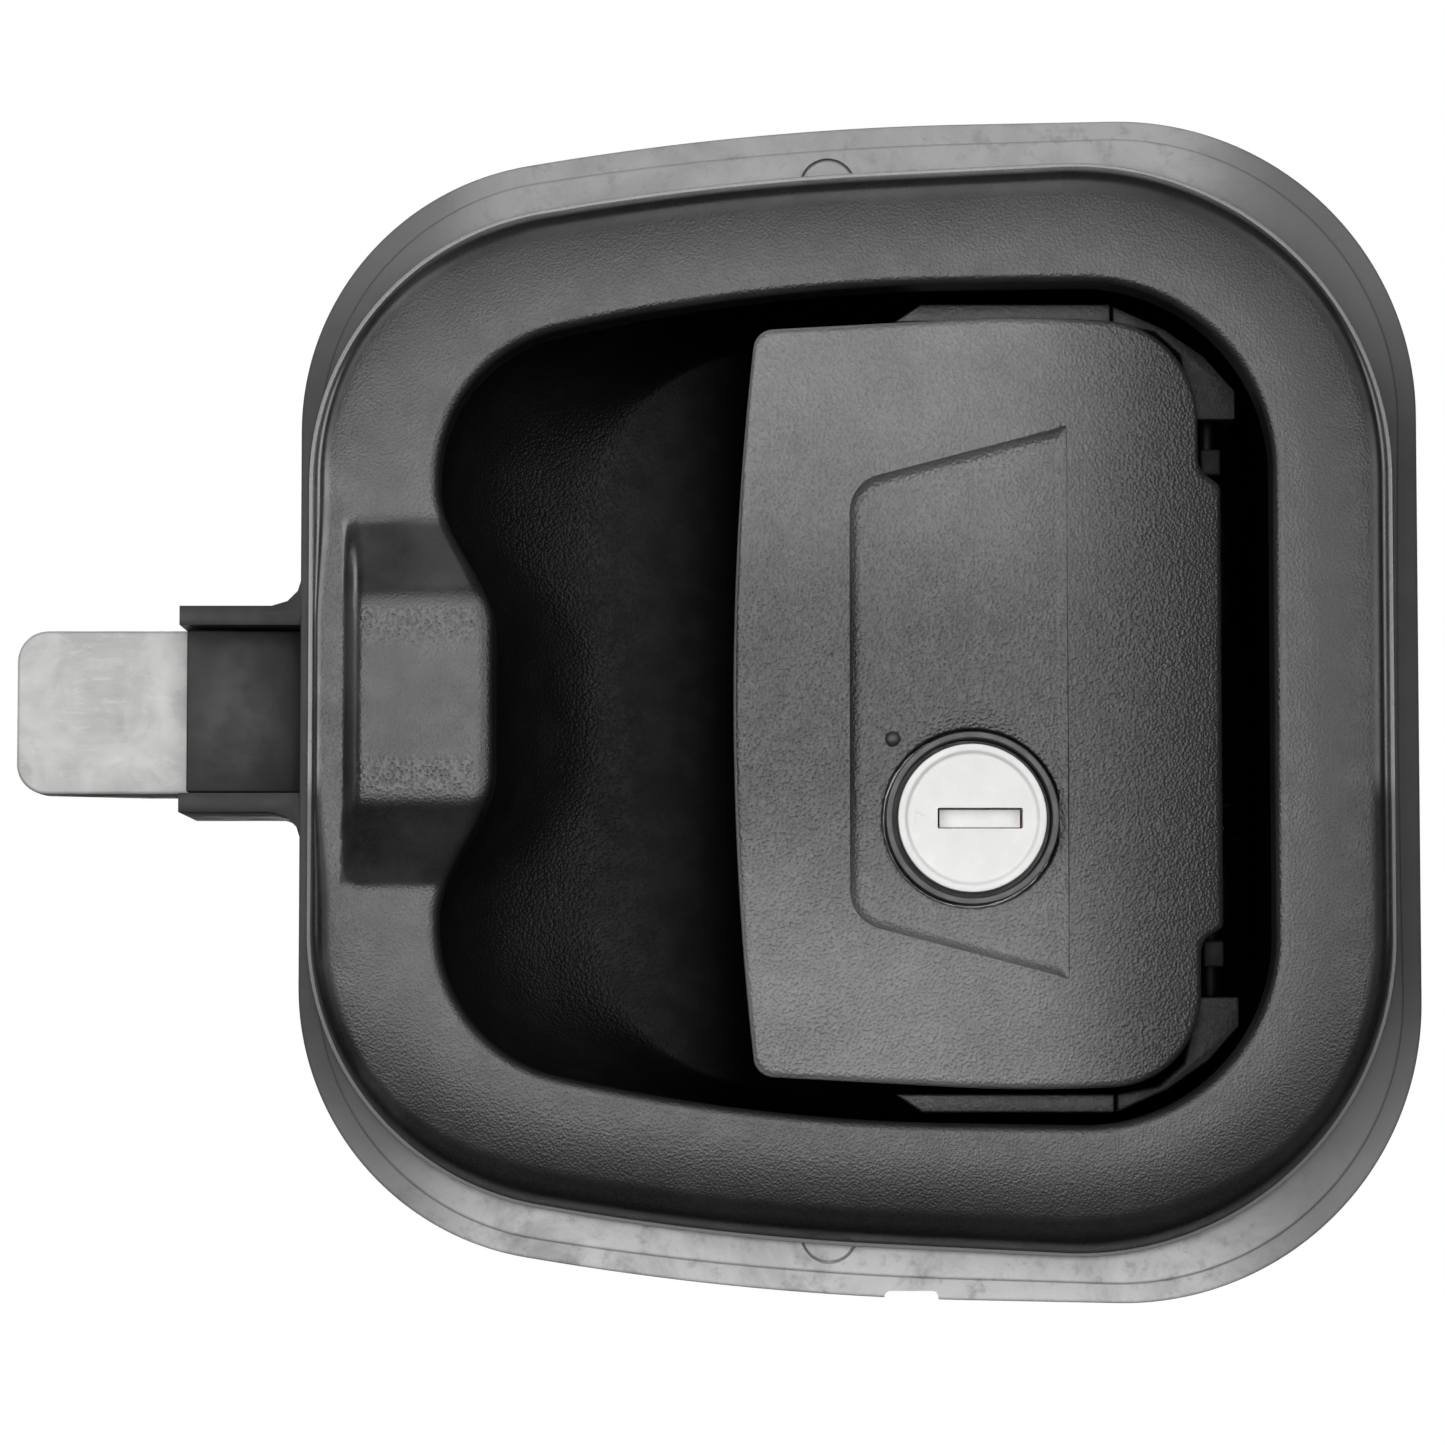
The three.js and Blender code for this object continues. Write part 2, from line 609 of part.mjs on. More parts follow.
function makeCrank() {
  const outline = rounded([
    [crank.x - crank.eye, crank.up + crank.eye, 3.8], [crank.x + crank.eye, crank.up + crank.eye, 3.8],
    [crank.x + crank.hub, 0, 3], [crank.x + crank.eye, -crank.down - crank.eye, 3.8],
    [crank.x - crank.eye, -crank.down - crank.eye, 3.8], [crank.x - crank.hub, 0, 3],
  ]);
  return cut(
    plate(outline, crank.front, crank.back),
    rod(crank.x, 0, 2.8, 20, 28),
    rod(crank.x, crank.up, crank.pin + gap, 20, 28, 12),
    rod(crank.x, -crank.down, crank.pin + gap, 20, 28, 12),
  );
}

function makeCrankPin(z, front) {
  return rod(crank.x, z, crank.pin, front, crank.back + 0.3, 12);
}

function makePivotPin() {
  return turned(crank.x, 0, [[0, 18.6], [2.1, 18.6], [2.5, 19], [2.5, 28.8], [4.4, 28.8], [4.4, 29.8], [4, 30.2], [0, 30.2]], 16);
}

// ---------------------------------------------------------------- latch case
const standoffs = [[-49, 16], [20, 28.2], [-49, -16], [20, -28.2]];

function wallRing(corners, wall, front, back) {
  const inner = corners.map(([x, z, r]) => [x - Math.sign(x) * wall, z - Math.sign(z) * wall, Math.max(r - wall, 0.5)]);
  return cut(plate(rounded(corners), front, back), plate(rounded(inner), front - 1, back + 1));
}

function makeCase() {
  const towerCorners = mirrored([[arm.right, 20, 5], [-54, 20, 2]]);
  const inside = arm.inner;
  const sides = [1, -1].map((s) => {
    const wall = new THREE.Shape();
    wall.moveTo(arm.left, s * inside);
    wall.lineTo(arm.left, s * arm.outer);
    wall.lineTo(-75, s * arm.outer);
    wall.quadraticCurveTo(-71.4, s * (arm.outer + 0.4), arm.right, s * 17.4);
    wall.lineTo(-69, s * 17.4);
    wall.lineTo(-69, s * inside);
    wall.closePath();
    return plate(wall, arm.front, arm.back);
  });
  const rails = [1, -1].map((s) => block(arm.left, stopWall.x0, link.front, 22.6,
    Math.min(s * 7.4, s * (inside + 0.2)), Math.max(s * 7.4, s * (inside + 0.2))));
  const body = join(
    wallRing(mirrored(caseCorners), caseDepth.wall, caseDepth.front, caseDepth.back),
    wallRing(towerCorners, caseDepth.wall, caseDepth.tower, caseDepth.front + 2),
    ...sides,
    block(arm.left, -56, 22.2, arm.back, -arm.outer, arm.outer),
    ...rails,
    block(stopWall.x0, stopWall.x1, 8.4, 18, -19, 19),
    ...standoffs.map(([x, z]) => rod(x, z, 3.6, caseDepth.front, caseDepth.back)),
    block(-52, -49, caseDepth.front, caseDepth.back, 16, 22),
    block(-52, -49, caseDepth.front, caseDepth.back, -22, -16),
  );
  return cut(
    body,
    cupOuter(0.35),
    block(-73, -60, bolt.front - 3.4, 22.2, -inside, inside),
    block(-60, -50, 18.6, 22.2, -7.4, 7.4),
    ...standoffs.map(([x, z]) => rod(x, z, 1.5, 18, 27, 12)),
  );
}

function makeArmPlate() {
  const wedge = new THREE.Shape();
  wedge.moveTo(arm.left + 0.6, 5);
  wedge.lineTo(-71.5, 6.6);
  wedge.lineTo(-71.5, 7.6);
  wedge.lineTo(arm.left + 0.6, 7.6);
  wedge.closePath();
  return column(wedge, -arm.inner + gap, arm.inner - gap);
}

function makeCaseCover() {
  return cut(
    plate(rounded(mirrored(caseCorners)), cover.front, cover.back),
    rod(crank.x, 0, 2.8, 20, 35),
    ...standoffs.map(([x, z]) => rod(x, z, 1.6, 20, 35, 12)),
  );
}

function makeCoverScrew([x, z]) {
  return screw(x, z, cover.back + gap, 8, 1.2);
}

// ---------------------------------------------------------------- hinge end of the cup
function makeLedge(side) {
  const z = (v) => side * v;
  const shape = new THREE.Shape();
  shape.moveTo(6, z(50));
  shape.lineTo(34, z(50));
  shape.lineTo(34, z(52.3));
  shape.lineTo(9.4, z(52.3));
  shape.closePath();
  return plate(shape, -3.5, 6);
}

function makePivotCap(side) {
  const z = (v) => side * v;
  const shape = new THREE.Shape();
  shape.moveTo(34.5, z(50));
  shape.quadraticCurveTo(44.2, z(50), 44.4, z(41));
  shape.lineTo(44.4, z(37.5));
  shape.lineTo(50.3, z(37.5));
  shape.lineTo(50.3, z(41.2));
  shape.quadraticCurveTo(45.4, z(48.4), 34.5, z(52.3));
  shape.closePath();
  const bore = hinge.half + gap;
  return cut(plate(shape, -1.8, 7), post(hinge.x, hinge.y, hinge.radius + gap, -bore, bore));
}

function makeBumper(side) {
  const low = side * 30.2;
  const high = side * 33.6;
  return block(45.8, 48.4, -1.8, 0.6, Math.min(low, high), Math.max(low, high));
}

function makePaddleSpring() {
  const place = (a, b, along) => new THREE.Vector3(hinge.x + a, hinge.y + b, -17 + along);
  return coil(3.4, 0.55, 6, 9, place, [new THREE.Vector3(49.6, 8, -8), new THREE.Vector3(48.5, 14.6, -8)]);
}

function makeBoltSpring() {
  const place = (a, b, along) => new THREE.Vector3(-81 + along, 13.4 + a, b);
  return coil(2.5, 0.45, 8, 23, place);
}

// ---------------------------------------------------------------- assembly
const handle = new THREE.Group();
handle.name = 'paddle_handle';

function add(name, geometry, surface) {
  const mesh = new THREE.Mesh(geometry, surface);
  mesh.name = name;
  handle.add(mesh);
}

function addEach(name, places, make, surface) {
  places.forEach((place, i) => add(`${name}_${i + 1}`, make(place), surface));
}

add('door_gasket', makeGasket(), gasketRubber);
add('bezel', makeBezel(), bezelPlastic);
add('pull_cup', makeCup(), cupPlastic);
addEach('gasket_peg', pegPlaces, makePeg, gasketRubber);
addEach('mounting_insert', insertPlaces, makeInsert, brass);
addEach('cup_screw', cupScrewPlaces, makeCupScrew, steel);

add('upper_ledge', makeLedge(1), ledgePlastic);
add('lower_ledge', makeLedge(-1), ledgePlastic);
add('upper_pivot_cap', makePivotCap(1), ledgePlastic);
add('lower_pivot_cap', makePivotCap(-1), ledgePlastic);
add('upper_bumper', makeBumper(1), gasketRubber);
add('lower_bumper', makeBumper(-1), gasketRubber);
add('hinge_pin', post(hinge.x, hinge.y, hinge.radius, -hinge.half, hinge.half), steel);
add('paddle_spring', makePaddleSpring(), springSteel);

add('paddle_shell', makePaddleShell(), paddlePlastic);
add('paddle_backing', makeBacking(), steel);
add('pull_arm', makePullArm(), steel);
addEach('arm_screw', armScrewPlaces, makeArmScrew, steel);
add('index_nub', makeNub(), collarPlastic);
add('lock_housing', makeLockHousing(), collarPlastic);
add('lock_nut', makeLockNut(), steel);

add('plug_face', makePlugFace(), lockMetal);
add('plug_core', makePlugCore(), brass);
add('lock_cam', makeCam(), steel);
add('cam_screw', screw(lock.x, lock.z, 10.8, 2, 1.2), steel);
add('key_shutter', makeShutter(), lockMetal);

add('latch_bolt', makeBolt(), boltMetal);
add('bolt_link', makeLink(), steel);
addEach('link_rivet', rivetPlaces, makeRivet, steel);
add('bolt_spring', makeBoltSpring(), springSteel);

add('bell_crank', makeCrank(), steel);
add('push_pin', makeCrankPin(crank.up, 18.6), steel);
add('link_pin', makeCrankPin(-crank.down, 18.6), steel);
add('pivot_pin', makePivotPin(), steel);

add('latch_case', makeCase(), casePlastic);
add('arm_plate', makeArmPlate(), casePlastic);
add('case_cover', makeCaseCover(), casePlastic);
addEach('cover_screw', standoffs, makeCoverScrew, steel);

export default handle;
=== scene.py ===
"""Looks of the flush paddle handle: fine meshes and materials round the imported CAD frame."""
import json
import math

import bmesh
import bpy
import numpy as np
from mathutils import Matrix, Vector


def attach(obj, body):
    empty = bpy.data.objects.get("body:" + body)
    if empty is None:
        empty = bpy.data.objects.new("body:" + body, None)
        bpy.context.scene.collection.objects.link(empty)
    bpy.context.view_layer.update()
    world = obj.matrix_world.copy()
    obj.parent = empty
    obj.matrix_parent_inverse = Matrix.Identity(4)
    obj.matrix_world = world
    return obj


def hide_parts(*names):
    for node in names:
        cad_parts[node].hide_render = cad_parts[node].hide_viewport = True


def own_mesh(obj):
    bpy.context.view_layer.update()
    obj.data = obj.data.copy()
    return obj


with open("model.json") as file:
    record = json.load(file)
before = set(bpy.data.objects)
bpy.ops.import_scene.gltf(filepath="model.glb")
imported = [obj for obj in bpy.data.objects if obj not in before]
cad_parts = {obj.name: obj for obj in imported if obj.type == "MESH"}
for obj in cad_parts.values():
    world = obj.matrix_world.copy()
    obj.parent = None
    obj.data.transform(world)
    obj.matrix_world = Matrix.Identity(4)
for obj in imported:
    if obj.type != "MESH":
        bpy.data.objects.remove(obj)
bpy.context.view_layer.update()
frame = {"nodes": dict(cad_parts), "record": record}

MM = 0.001
TAU = 2 * math.pi

# ------------------------------------------------------------------ outlines, in mm
# half outlines, left to right: (x, z, corner radius); each is mirrored below z = 0
BEZEL = [(-69.8, 59.4, 36), (-16.4, 68.6, 340), (70.4, 72.8, 41)]
RIM = [(-52.6, 44.4, 19.6), (-11.2, 53.3, 250), (54.1, 54.3, 24.2)]
GASKET = [(-71.1, 66.1, 35.3), (-11.7, 75.9, 380), (74, 77.6, 38.7)]
CUTOUT = [(-62, 57, 14), (62, 63.5, 18)]
FLOOR = [(-32, 45, 22), (8, 52.6, 60), (52.4, 53.2, 23)]
PADDLE = [(-17.35, 0, 405), (-12.1, 47.7, 2.6), (22, 49.55, 200), (44.9, 48.6, 12), (45.1, 30.4, 2.5),
          (48.1, 28.6, 1)]
PANEL = [(-0.1, 28, 5), (27.7, 35.3, 0.25)]

# depths along Y, in mm; the front of the object is at the lowest Y
LIP_Y, CROWN_Y, WALL_END_Y = -4.2, -12.2, -6.0
BASE_Y = -2.5
BEZEL_BACK_Y = -9.4
HUMP_HEIGHT, HUMP_TOP, HUMP_FOOT = 5.0, 12.7, 23.5
CUP_RIM_Y, CUP_FLOOR_Y, CUP_WALL, CUP_FLANGE = -5.7, 16.0, 2.0, 7.0
GASKET_FRONT, GASKET_LIP, GASKET_LIP_WIDTH = -2.2, -1.5, 2.7
PADDLE_FRONT, PADDLE_SKIN, PADDLE_SKIRT = -12.6, 2.8, 6.5
PADDLE_BEND_X, PADDLE_BEND = 22.0, 7.4
PANEL_DEPTH, PANEL_BACK = 0.9, PADDLE_SKIN + 0.85
LOCK, LOCK_HOLE = (15.5, -14.9), 11.4
NUB = (5.4, -4.8)
PEGS, PEG_RADIUS = [(-2.6, 68.0), (-2.6, -68.0)], 3.4


def mirrored(half):
    """A whole outline from its upper half."""
    middle = [c for c in half if c[1] == 0]
    rest = [c for c in half if c[1] != 0]
    return middle + rest + [(x, -z, r) for x, z, r in reversed(rest)]


def rounded(corners, steps=40):
    """Points of a closed polygon with an arc at each corner."""
    points = []
    for i, (x, z, radius) in enumerate(corners):
        corner = np.array((x, z), float)
        a = np.array(corners[i - 1][:2], float) - corner
        b = np.array(corners[(i + 1) % len(corners)][:2], float) - corner
        a /= np.linalg.norm(a)
        b /= np.linalg.norm(b)
        angle = math.acos(max(-1, min(1, float(a @ b))))
        start = corner + a * radius / math.tan(angle / 2)
        end = corner + b * radius / math.tan(angle / 2)
        middle = corner + (a + b) / np.linalg.norm(a + b) * radius / math.sin(angle / 2)
        from_angle = math.atan2(*(start - middle)[::-1])
        to_angle = math.atan2(*(end - middle)[::-1])
        sweep = (to_angle - from_angle + math.pi) % TAU - math.pi
        for k in range(steps + 1):
            w = from_angle + sweep * k / steps
            points.append(middle + radius * np.array((math.cos(w), math.sin(w))))
    return np.array(points)


def ray_loop(points, angles, centre=(0.0, 0.0)):
    """Where rays from a centre meet an outline."""
    c = np.array(centre)
    p = points - c
    e = np.roll(points, -1, 0) - points
    out = []
    for w in angles:
        d = np.array((math.cos(w), math.sin(w)))
        cross = d[0] * e[:, 1] - d[1] * e[:, 0]
        cross = np.where(np.abs(cross) < 1e-9, 1e-9, cross)
        reach = (p[:, 0] * e[:, 1] - p[:, 1] * e[:, 0]) / cross
        along = (p[:, 0] * d[1] - p[:, 1] * d[0]) / cross
        good = (along >= -1e-6) & (along <= 1 + 1e-6) & (reach > 0)
        out.append(c + d * reach[good].max())
    return np.array(out)


def smooth(t):
    """0 to 1 with a soft start and end."""
    s = np.clip(t, 0, 1)
    return s * s * (3 - 2 * s)


def pushed_out(loop, distance, centre=(0.0, 0.0)):
    """A loop moved away from a centre by a distance."""
    d = loop - np.array(centre)
    return loop + d / np.linalg.norm(d, axis=1)[:, None] * distance


# ------------------------------------------------------------------ mesh helpers
def finish_mesh(name, mesh, body, slot, nodes, sharp=35):
    """An object of the mesh, riding on a body, in place of the CAD nodes named."""
    mesh.validate()
    obj = bpy.data.objects.new(name, mesh)
    bpy.context.scene.collection.objects.link(obj)
    mesh.materials.clear()
    mesh.materials.append(MATERIALS[slot])
    mesh.polygons.foreach_set("use_smooth", [True] * len(mesh.polygons))
    mesh.set_sharp_from_angle(angle=math.radians(sharp))
    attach(obj, body)
    if nodes:
        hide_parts(*nodes)
    return obj


def loft(rings, capped=False):
    """A closed mesh through rings of (x, y, z) points in mm."""
    count = len(rings[0])
    verts = np.concatenate(rings) * MM
    faces = []
    last = len(rings) - 1 if capped else len(rings)
    for r in range(last):
        a = r * count
        b = ((r + 1) % len(rings)) * count
        faces += [(a + i, a + (i + 1) % count, b + (i + 1) % count, b + i) for i in range(count)]
    verts = verts.tolist()
    if capped:
        for r, turn in ((0, True), (len(rings) - 1, False)):
            hub = len(verts)
            verts.append((rings[r].mean(0) * MM).tolist())
            for i in range(count):
                j = (i + 1) % count
                a, b = (j, i) if turn else (i, j)
                faces.append((r * count + a, r * count + b, hub))
    mesh = bpy.data.meshes.new("loft")
    mesh.from_pydata(verts, [], faces)
    bm = bmesh.new()
    bm.from_mesh(mesh)
    bmesh.ops.recalc_face_normals(bm, faces=bm.faces)
    if bm.calc_volume(signed=True) < 0:
        bmesh.ops.reverse_faces(bm, faces=bm.faces)
    bm.to_mesh(mesh)
    bm.free()
    return mesh


def ring3(loop, y):
    """A loop of (x, z) points set at a depth."""
    y = np.broadcast_to(y, (len(loop),))
    return np.stack((loop[:, 0], y, loop[:, 1]), 1)


def turned(profile, x, z, steps=64):
    """A turned mesh about a line along Y; profile of (radius, y), from axis to axis or closed."""
    closed = profile[0] == profile[-1]
    points = profile[:-1] if closed else profile
    w = np.arange(steps) * TAU / steps
    rings = []
    for radius, y in points:
        r = max(radius, 0.0005)
        rings.append(np.stack((x + r * np.cos(w), np.full(steps, y), z + r * np.sin(w)), 1))
    return loft(rings, capped=not closed)


def softened(profile, radius, steps=4):
    """A profile with its corners rounded; a closed one stays closed."""
    closed = profile[0] == profile[-1]
    points = [np.array(p, float) for p in (profile[:-1] if closed else profile)]
    out = []
    for i, p in enumerate(points):
        if not closed and i in (0, len(points) - 1):
            out.append(tuple(p))
            continue
        a = points[i - 1] - p
        b = points[(i + 1) % len(points)] - p
        la, lb = np.linalg.norm(a), np.linalg.norm(b)
        cut = min(radius, la * 0.45, lb * 0.45)
        start, end = p + a / la * cut, p + b / lb * cut
        for k in range(steps + 1):
            t = k / steps
            out.append(tuple(start * (1 - t) ** 2 + p * 2 * t * (1 - t) + end * t * t))
    return out + [out[0]] if closed else out


def extruded(outline, y0, y1):
    """A plate of an (x, z) outline between two depths."""
    mesh = bpy.data.meshes.new("plate")
    bm = bmesh.new()
    keep = [p for i, p in enumerate(outline) if np.linalg.norm(p - outline[i - 1]) > 0.02]
    front = [bm.verts.new((p[0] * MM, y0 * MM, p[1] * MM)) for p in keep]
    back = [bm.verts.new((p[0] * MM, y1 * MM, p[1] * MM)) for p in keep]
    n = len(keep)
    bm.faces.new(front)
    bm.faces.new(back[::-1])
    for i in range(n):
        bm.faces.new((front[i], front[(i + 1) % n], back[(i + 1) % n], back[i]))
    bmesh.ops.recalc_face_normals(bm, faces=bm.faces)
    bm.to_mesh(mesh)
    bm.free()
    return mesh


def applied(mesh, kind, settings):
    """The mesh after a modifier of a kind, with its settings."""
    obj = bpy.data.objects.new("work", mesh)
    bpy.context.scene.collection.objects.link(obj)
    modifier = obj.modifiers.new(kind.lower(), kind)
    for key, value in settings.items():
        setattr(modifier, key, value)
    graph = bpy.context.evaluated_depsgraph_get()
    result = bpy.data.meshes.new_from_object(obj.evaluated_get(graph))
    bpy.data.objects.remove(obj)
    return result


def rounded_edges(mesh, width, steps):
    """The mesh with its sharp edges rounded, by a width in mm."""
    return applied(mesh, "BEVEL", {
        "width": width * MM, "segments": steps, "limit_method": "ANGLE",
        "angle_limit": math.radians(40), "miter_outer": "MITER_ARC",
    })


def cut(mesh, *tools):
    """The mesh less each tool mesh."""
    for tool in tools:
        other = bpy.data.objects.new("tool", tool)
        bpy.context.scene.collection.objects.link(other)
        mesh = applied(mesh, "BOOLEAN", {"operation": "DIFFERENCE", "object": other, "solver": "EXACT"})
        bpy.data.objects.remove(other)
    return mesh


def cleaned(node):
    """A copy of a CAD node's mesh, with its flat faces joined up again."""
    mesh = frame["nodes"][node].data.copy()
    bm = bmesh.new()
    bm.from_mesh(mesh)
    bmesh.ops.remove_doubles(bm, verts=bm.verts, dist=2e-6)
    bmesh.ops.dissolve_limit(bm, angle_limit=math.radians(0.6), verts=bm.verts, edges=bm.edges)
    bm.to_mesh(mesh)
    bm.free()
    return mesh


# ------------------------------------------------------------------ materials
class Surface:
    """A procedural material: a Principled shader with nodes before it."""

    def __init__(self, name, color, rough, metal=0.0, specular=0.5):
        self.material = bpy.data.materials.new(name)
        self.material.use_nodes = True
        self.nodes = self.material.node_tree.nodes
        self.links = self.material.node_tree.links
        self.shader = self.nodes["Principled BSDF"]
        self.shader.inputs["Metallic"].default_value = metal
        self.shader.inputs["Specular IOR Level"].default_value = specular
        self.shader.inputs["Roughness"].default_value = rough
        self.shader.inputs["Base Color"].default_value = (*color, 1)
        self.place = self.nodes.new("ShaderNodeTexCoord").outputs["Object"]
        self.color = None
        self.base = color
        self.bump = None

    def noise(self, scale, detail=3.0, rough=0.55, stretch=None, distortion=0.0):
        node = self.nodes.new("ShaderNodeTexNoise")
        node.inputs["Scale"].default_value = scale
        node.inputs["Detail"].default_value = detail
        node.inputs["Roughness"].default_value = rough
        node.inputs["Distortion"].default_value = distortion
        self.links.new(self.mapped(stretch), node.inputs["Vector"])
        return node.outputs["Fac"]

    def cells(self, scale):
        """Rounded pebbles, as in a leather grain."""
        node = self.nodes.new("ShaderNodeTexVoronoi")
        node.feature = "SMOOTH_F1"
        node.inputs["Scale"].default_value = scale
        node.inputs["Smoothness"].default_value = 0.35
        self.links.new(self.place, node.inputs["Vector"])
        return node.outputs["Distance"]

    def mapped(self, stretch):
        if stretch is None:
            return self.place
        node = self.nodes.new("ShaderNodeMapping")
        node.inputs["Scale"].default_value = stretch
        self.links.new(self.place, node.inputs["Vector"])
        return node.outputs["Vector"]

    def ramp(self, value, low, high, to_low=0.0, to_high=1.0, ease="SMOOTHSTEP"):
        """A value turned from one range to another, held at its ends."""
        node = self.nodes.new("ShaderNodeMapRange")
        node.interpolation_type = ease
        ends = {"From Min": low, "From Max": high, "To Min": to_low, "To Max": to_high}
        for key, number in ends.items():
            node.inputs[key].default_value = number
        self.links.new(value, node.inputs["Value"])
        return node.outputs["Result"]

    def math(self, operation, a, b=0.0):
        node = self.nodes.new("ShaderNodeMath")
        node.operation = operation
        for socket, value in ((node.inputs[0], a), (node.inputs[1], b)):
            if isinstance(value, (int, float)):
                socket.default_value = value
            else:
                self.links.new(value, socket)
        return node.outputs[0]

    def axis(self, name):
        node = self.nodes.new("ShaderNodeSeparateXYZ")
        self.links.new(self.place, node.inputs[0])
        return node.outputs[name]

    def away(self, name):
        """How far a point is from the middle along an axis."""
        return self.math("ABSOLUTE", self.axis(name))

    def attribute(self, name):
        node = self.nodes.new("ShaderNodeAttribute")
        node.attribute_name = name
        return node.outputs["Fac"]

    def tint(self, mask, color):
        """Mixes a colour in where the mask is 1."""
        node = self.nodes.new("ShaderNodeMix")
        node.data_type = "RGBA"
        self.links.new(mask, node.inputs["Factor"])
        if self.color is None:
            node.inputs["A"].default_value = (*self.base, 1)
        else:
            self.links.new(self.color, node.inputs["A"])
        node.inputs["B"].default_value = (*color, 1)
        self.color = node.outputs["Result"]
        self.links.new(self.color, self.shader.inputs["Base Color"])

    def shine(self, value):
        """How strongly the surface reflects."""
        self.links.new(value, self.shader.inputs["Specular IOR Level"])

    def roughness(self, value):
        self.links.new(value, self.shader.inputs["Roughness"])

    def relief(self, height, depth):
        """A bump of the given depth in metres."""
        node = self.nodes.new("ShaderNodeBump")
        node.inputs["Strength"].default_value = 1.0
        node.inputs["Distance"].default_value = depth
        self.links.new(height, node.inputs["Height"])
        if self.bump is not None:
            self.links.new(self.bump, node.inputs["Normal"])
        self.bump = node.outputs["Normal"]
        self.links.new(self.bump, self.shader.inputs["Normal"])


def grained_plastic(name, color, grain, depth):
    """Moulded plastic with a fine leather grain, which fades where the attribute "calm" is 1."""
    rough = 0.38
    s = Surface(name, color, rough)
    calm = s.attribute("calm")
    fine = s.noise(grain, 2.0, 0.5)
    cells = s.cells(grain * 0.8)
    pebbles = s.math("ADD", s.math("MULTIPLY", fine, 0.7), cells)
    s.relief(s.math("MULTIPLY", pebbles, s.math("SUBTRACT", 1.0, calm)), depth)
    light = tuple(c * 1.6 + 0.004 for c in color)
    s.tint(s.ramp(cells, 0.15, 0.6, 0.0, 0.6), light)
    uneven = s.ramp(s.noise(250.0, 4.0), 0.3, 0.7, rough - 0.035, rough + 0.035)
    s.roughness(s.math("SUBTRACT", uneven, s.math("MULTIPLY", calm, 0.09)))
    return s


def make_bezel_plastic():
    """Pale patches of wear, painted much stronger at the left as painted light; a painted highlight along the
    lip; stippled patches at both ends of the grip; shine cut on the lower slopes and ramps as painted shade.
    """
    s = grained_plastic("bezel_plastic", (0.006, 0.006, 0.0062), 3600.0, 0.00004)
    # pale patches of wear, painted far stronger at the left: painted light where the stronger left light
    # falls
    wear_and_left_light = s.ramp(s.noise(38.0, 5.0, 0.6), 0.42, 0.72, 0.0, 1.0)
    left = s.ramp(s.axis("X"), -0.060, -0.045, 1.0, 0.25)
    s.tint(s.math("MULTIPLY", wear_and_left_light, left), (0.035, 0.035, 0.035))
    # painted highlight: a pale line along the bezel's lip, where the edge attribute is 1
    s.tint(s.attribute("edge"), (0.16, 0.16, 0.16))
    height = s.away("Z")
    x = s.axis("X")
    along = s.math("MULTIPLY", s.ramp(x, -0.0635, -0.061), s.ramp(x, -0.0465, -0.0485))
    across = s.math("MULTIPLY", s.ramp(height, 0.0060, 0.0085), s.ramp(height, 0.0125, 0.0110))
    patch = s.math("MULTIPLY", along, across)
    pebbles = s.cells(1900.0)
    s.relief(s.math("MULTIPLY", pebbles, patch), 0.00011)
    s.tint(s.math("MULTIPLY", patch, s.ramp(pebbles, 0.35, 0.7)), (0.05, 0.05, 0.05))
    # painted shade: the shine is cut on the calm lower slopes and ramps so that they read darker, as if
    # shaded from below
    low = s.math("MULTIPLY", s.attribute("calm"), s.ramp(s.axis("Z"), -0.008, -0.013))
    s.shine(s.ramp(low, 0.0, 1.0, 0.5, 0.06, "LINEAR"))
    return s.material


def make_paddle_plastic():
    """Painted sheen: lighter above and below and towards the left, in soft clouds, standing in for the
    reflection of the lamps, with a painted highlight along the left edge.
    """
    s = grained_plastic("paddle_plastic", (0.013, 0.013, 0.0133), 3000.0, 0.0001)
    # painted reflection: the face is painted lighter above and below and towards the left, so the middle
    # reads darker
    ends = s.ramp(s.away("Z"), 0.008, 0.034)
    left = s.ramp(s.axis("X"), 0.042, 0.014)
    sheen_clouds = s.ramp(s.noise(45.0, 5.0, 0.6), 0.3, 0.7, 0.55, 1.0)
    s.tint(s.math("MULTIPLY", s.math("MULTIPLY", ends, left), sheen_clouds), (0.105, 0.105, 0.105))
    # painted highlight along the paddle's rounded edge, strongest at the left
    s.tint(s.attribute("edge"), (0.2, 0.2, 0.2))
    return s.material


def make_cup_plastic():
    """Black, with a grain in the scoop under the grip."""
    s = Surface("cup_plastic", (0.0008, 0.0008, 0.0009), 0.35, specular=0.02)
    scoop = s.ramp(s.axis("X"), -0.043, -0.012, 1.0, 0.0)
    grain = s.math("MULTIPLY", s.cells(2400.0), scoop)
    s.relief(grain, 0.00014)
    s.shine(s.ramp(scoop, 0.0, 1.0, 0.0, 0.1, "LINEAR"))
    s.tint(scoop, (0.005, 0.005, 0.0052))
    dusty = s.ramp(s.noise(120.0, 4.0), 0.45, 0.7, 0.0, 0.5)
    s.tint(s.math("MULTIPLY", scoop, dusty), (0.009, 0.009, 0.0093))
    s.roughness(s.ramp(s.noise(300.0, 3.0), 0.3, 0.7, 0.32, 0.44))
    return s.material


def make_ledge_plastic():
    s = Surface("ledge_plastic", (0.014, 0.014, 0.014), 0.42)
    # painted shade: less shine towards the right, at the hinge
    s.shine(s.ramp(s.axis("X"), 0.030, 0.040, 0.42, 0.12))
    s.relief(s.noise(2400.0, 3.0, 0.6), 0.0001)
    s.tint(s.ramp(s.noise(2400.0, 2.0), 0.45, 0.75, 0.0, 0.7), (0.03, 0.03, 0.03))
    s.roughness(s.ramp(s.noise(900.0), 0.3, 0.7, 0.36, 0.5))
    return s.material


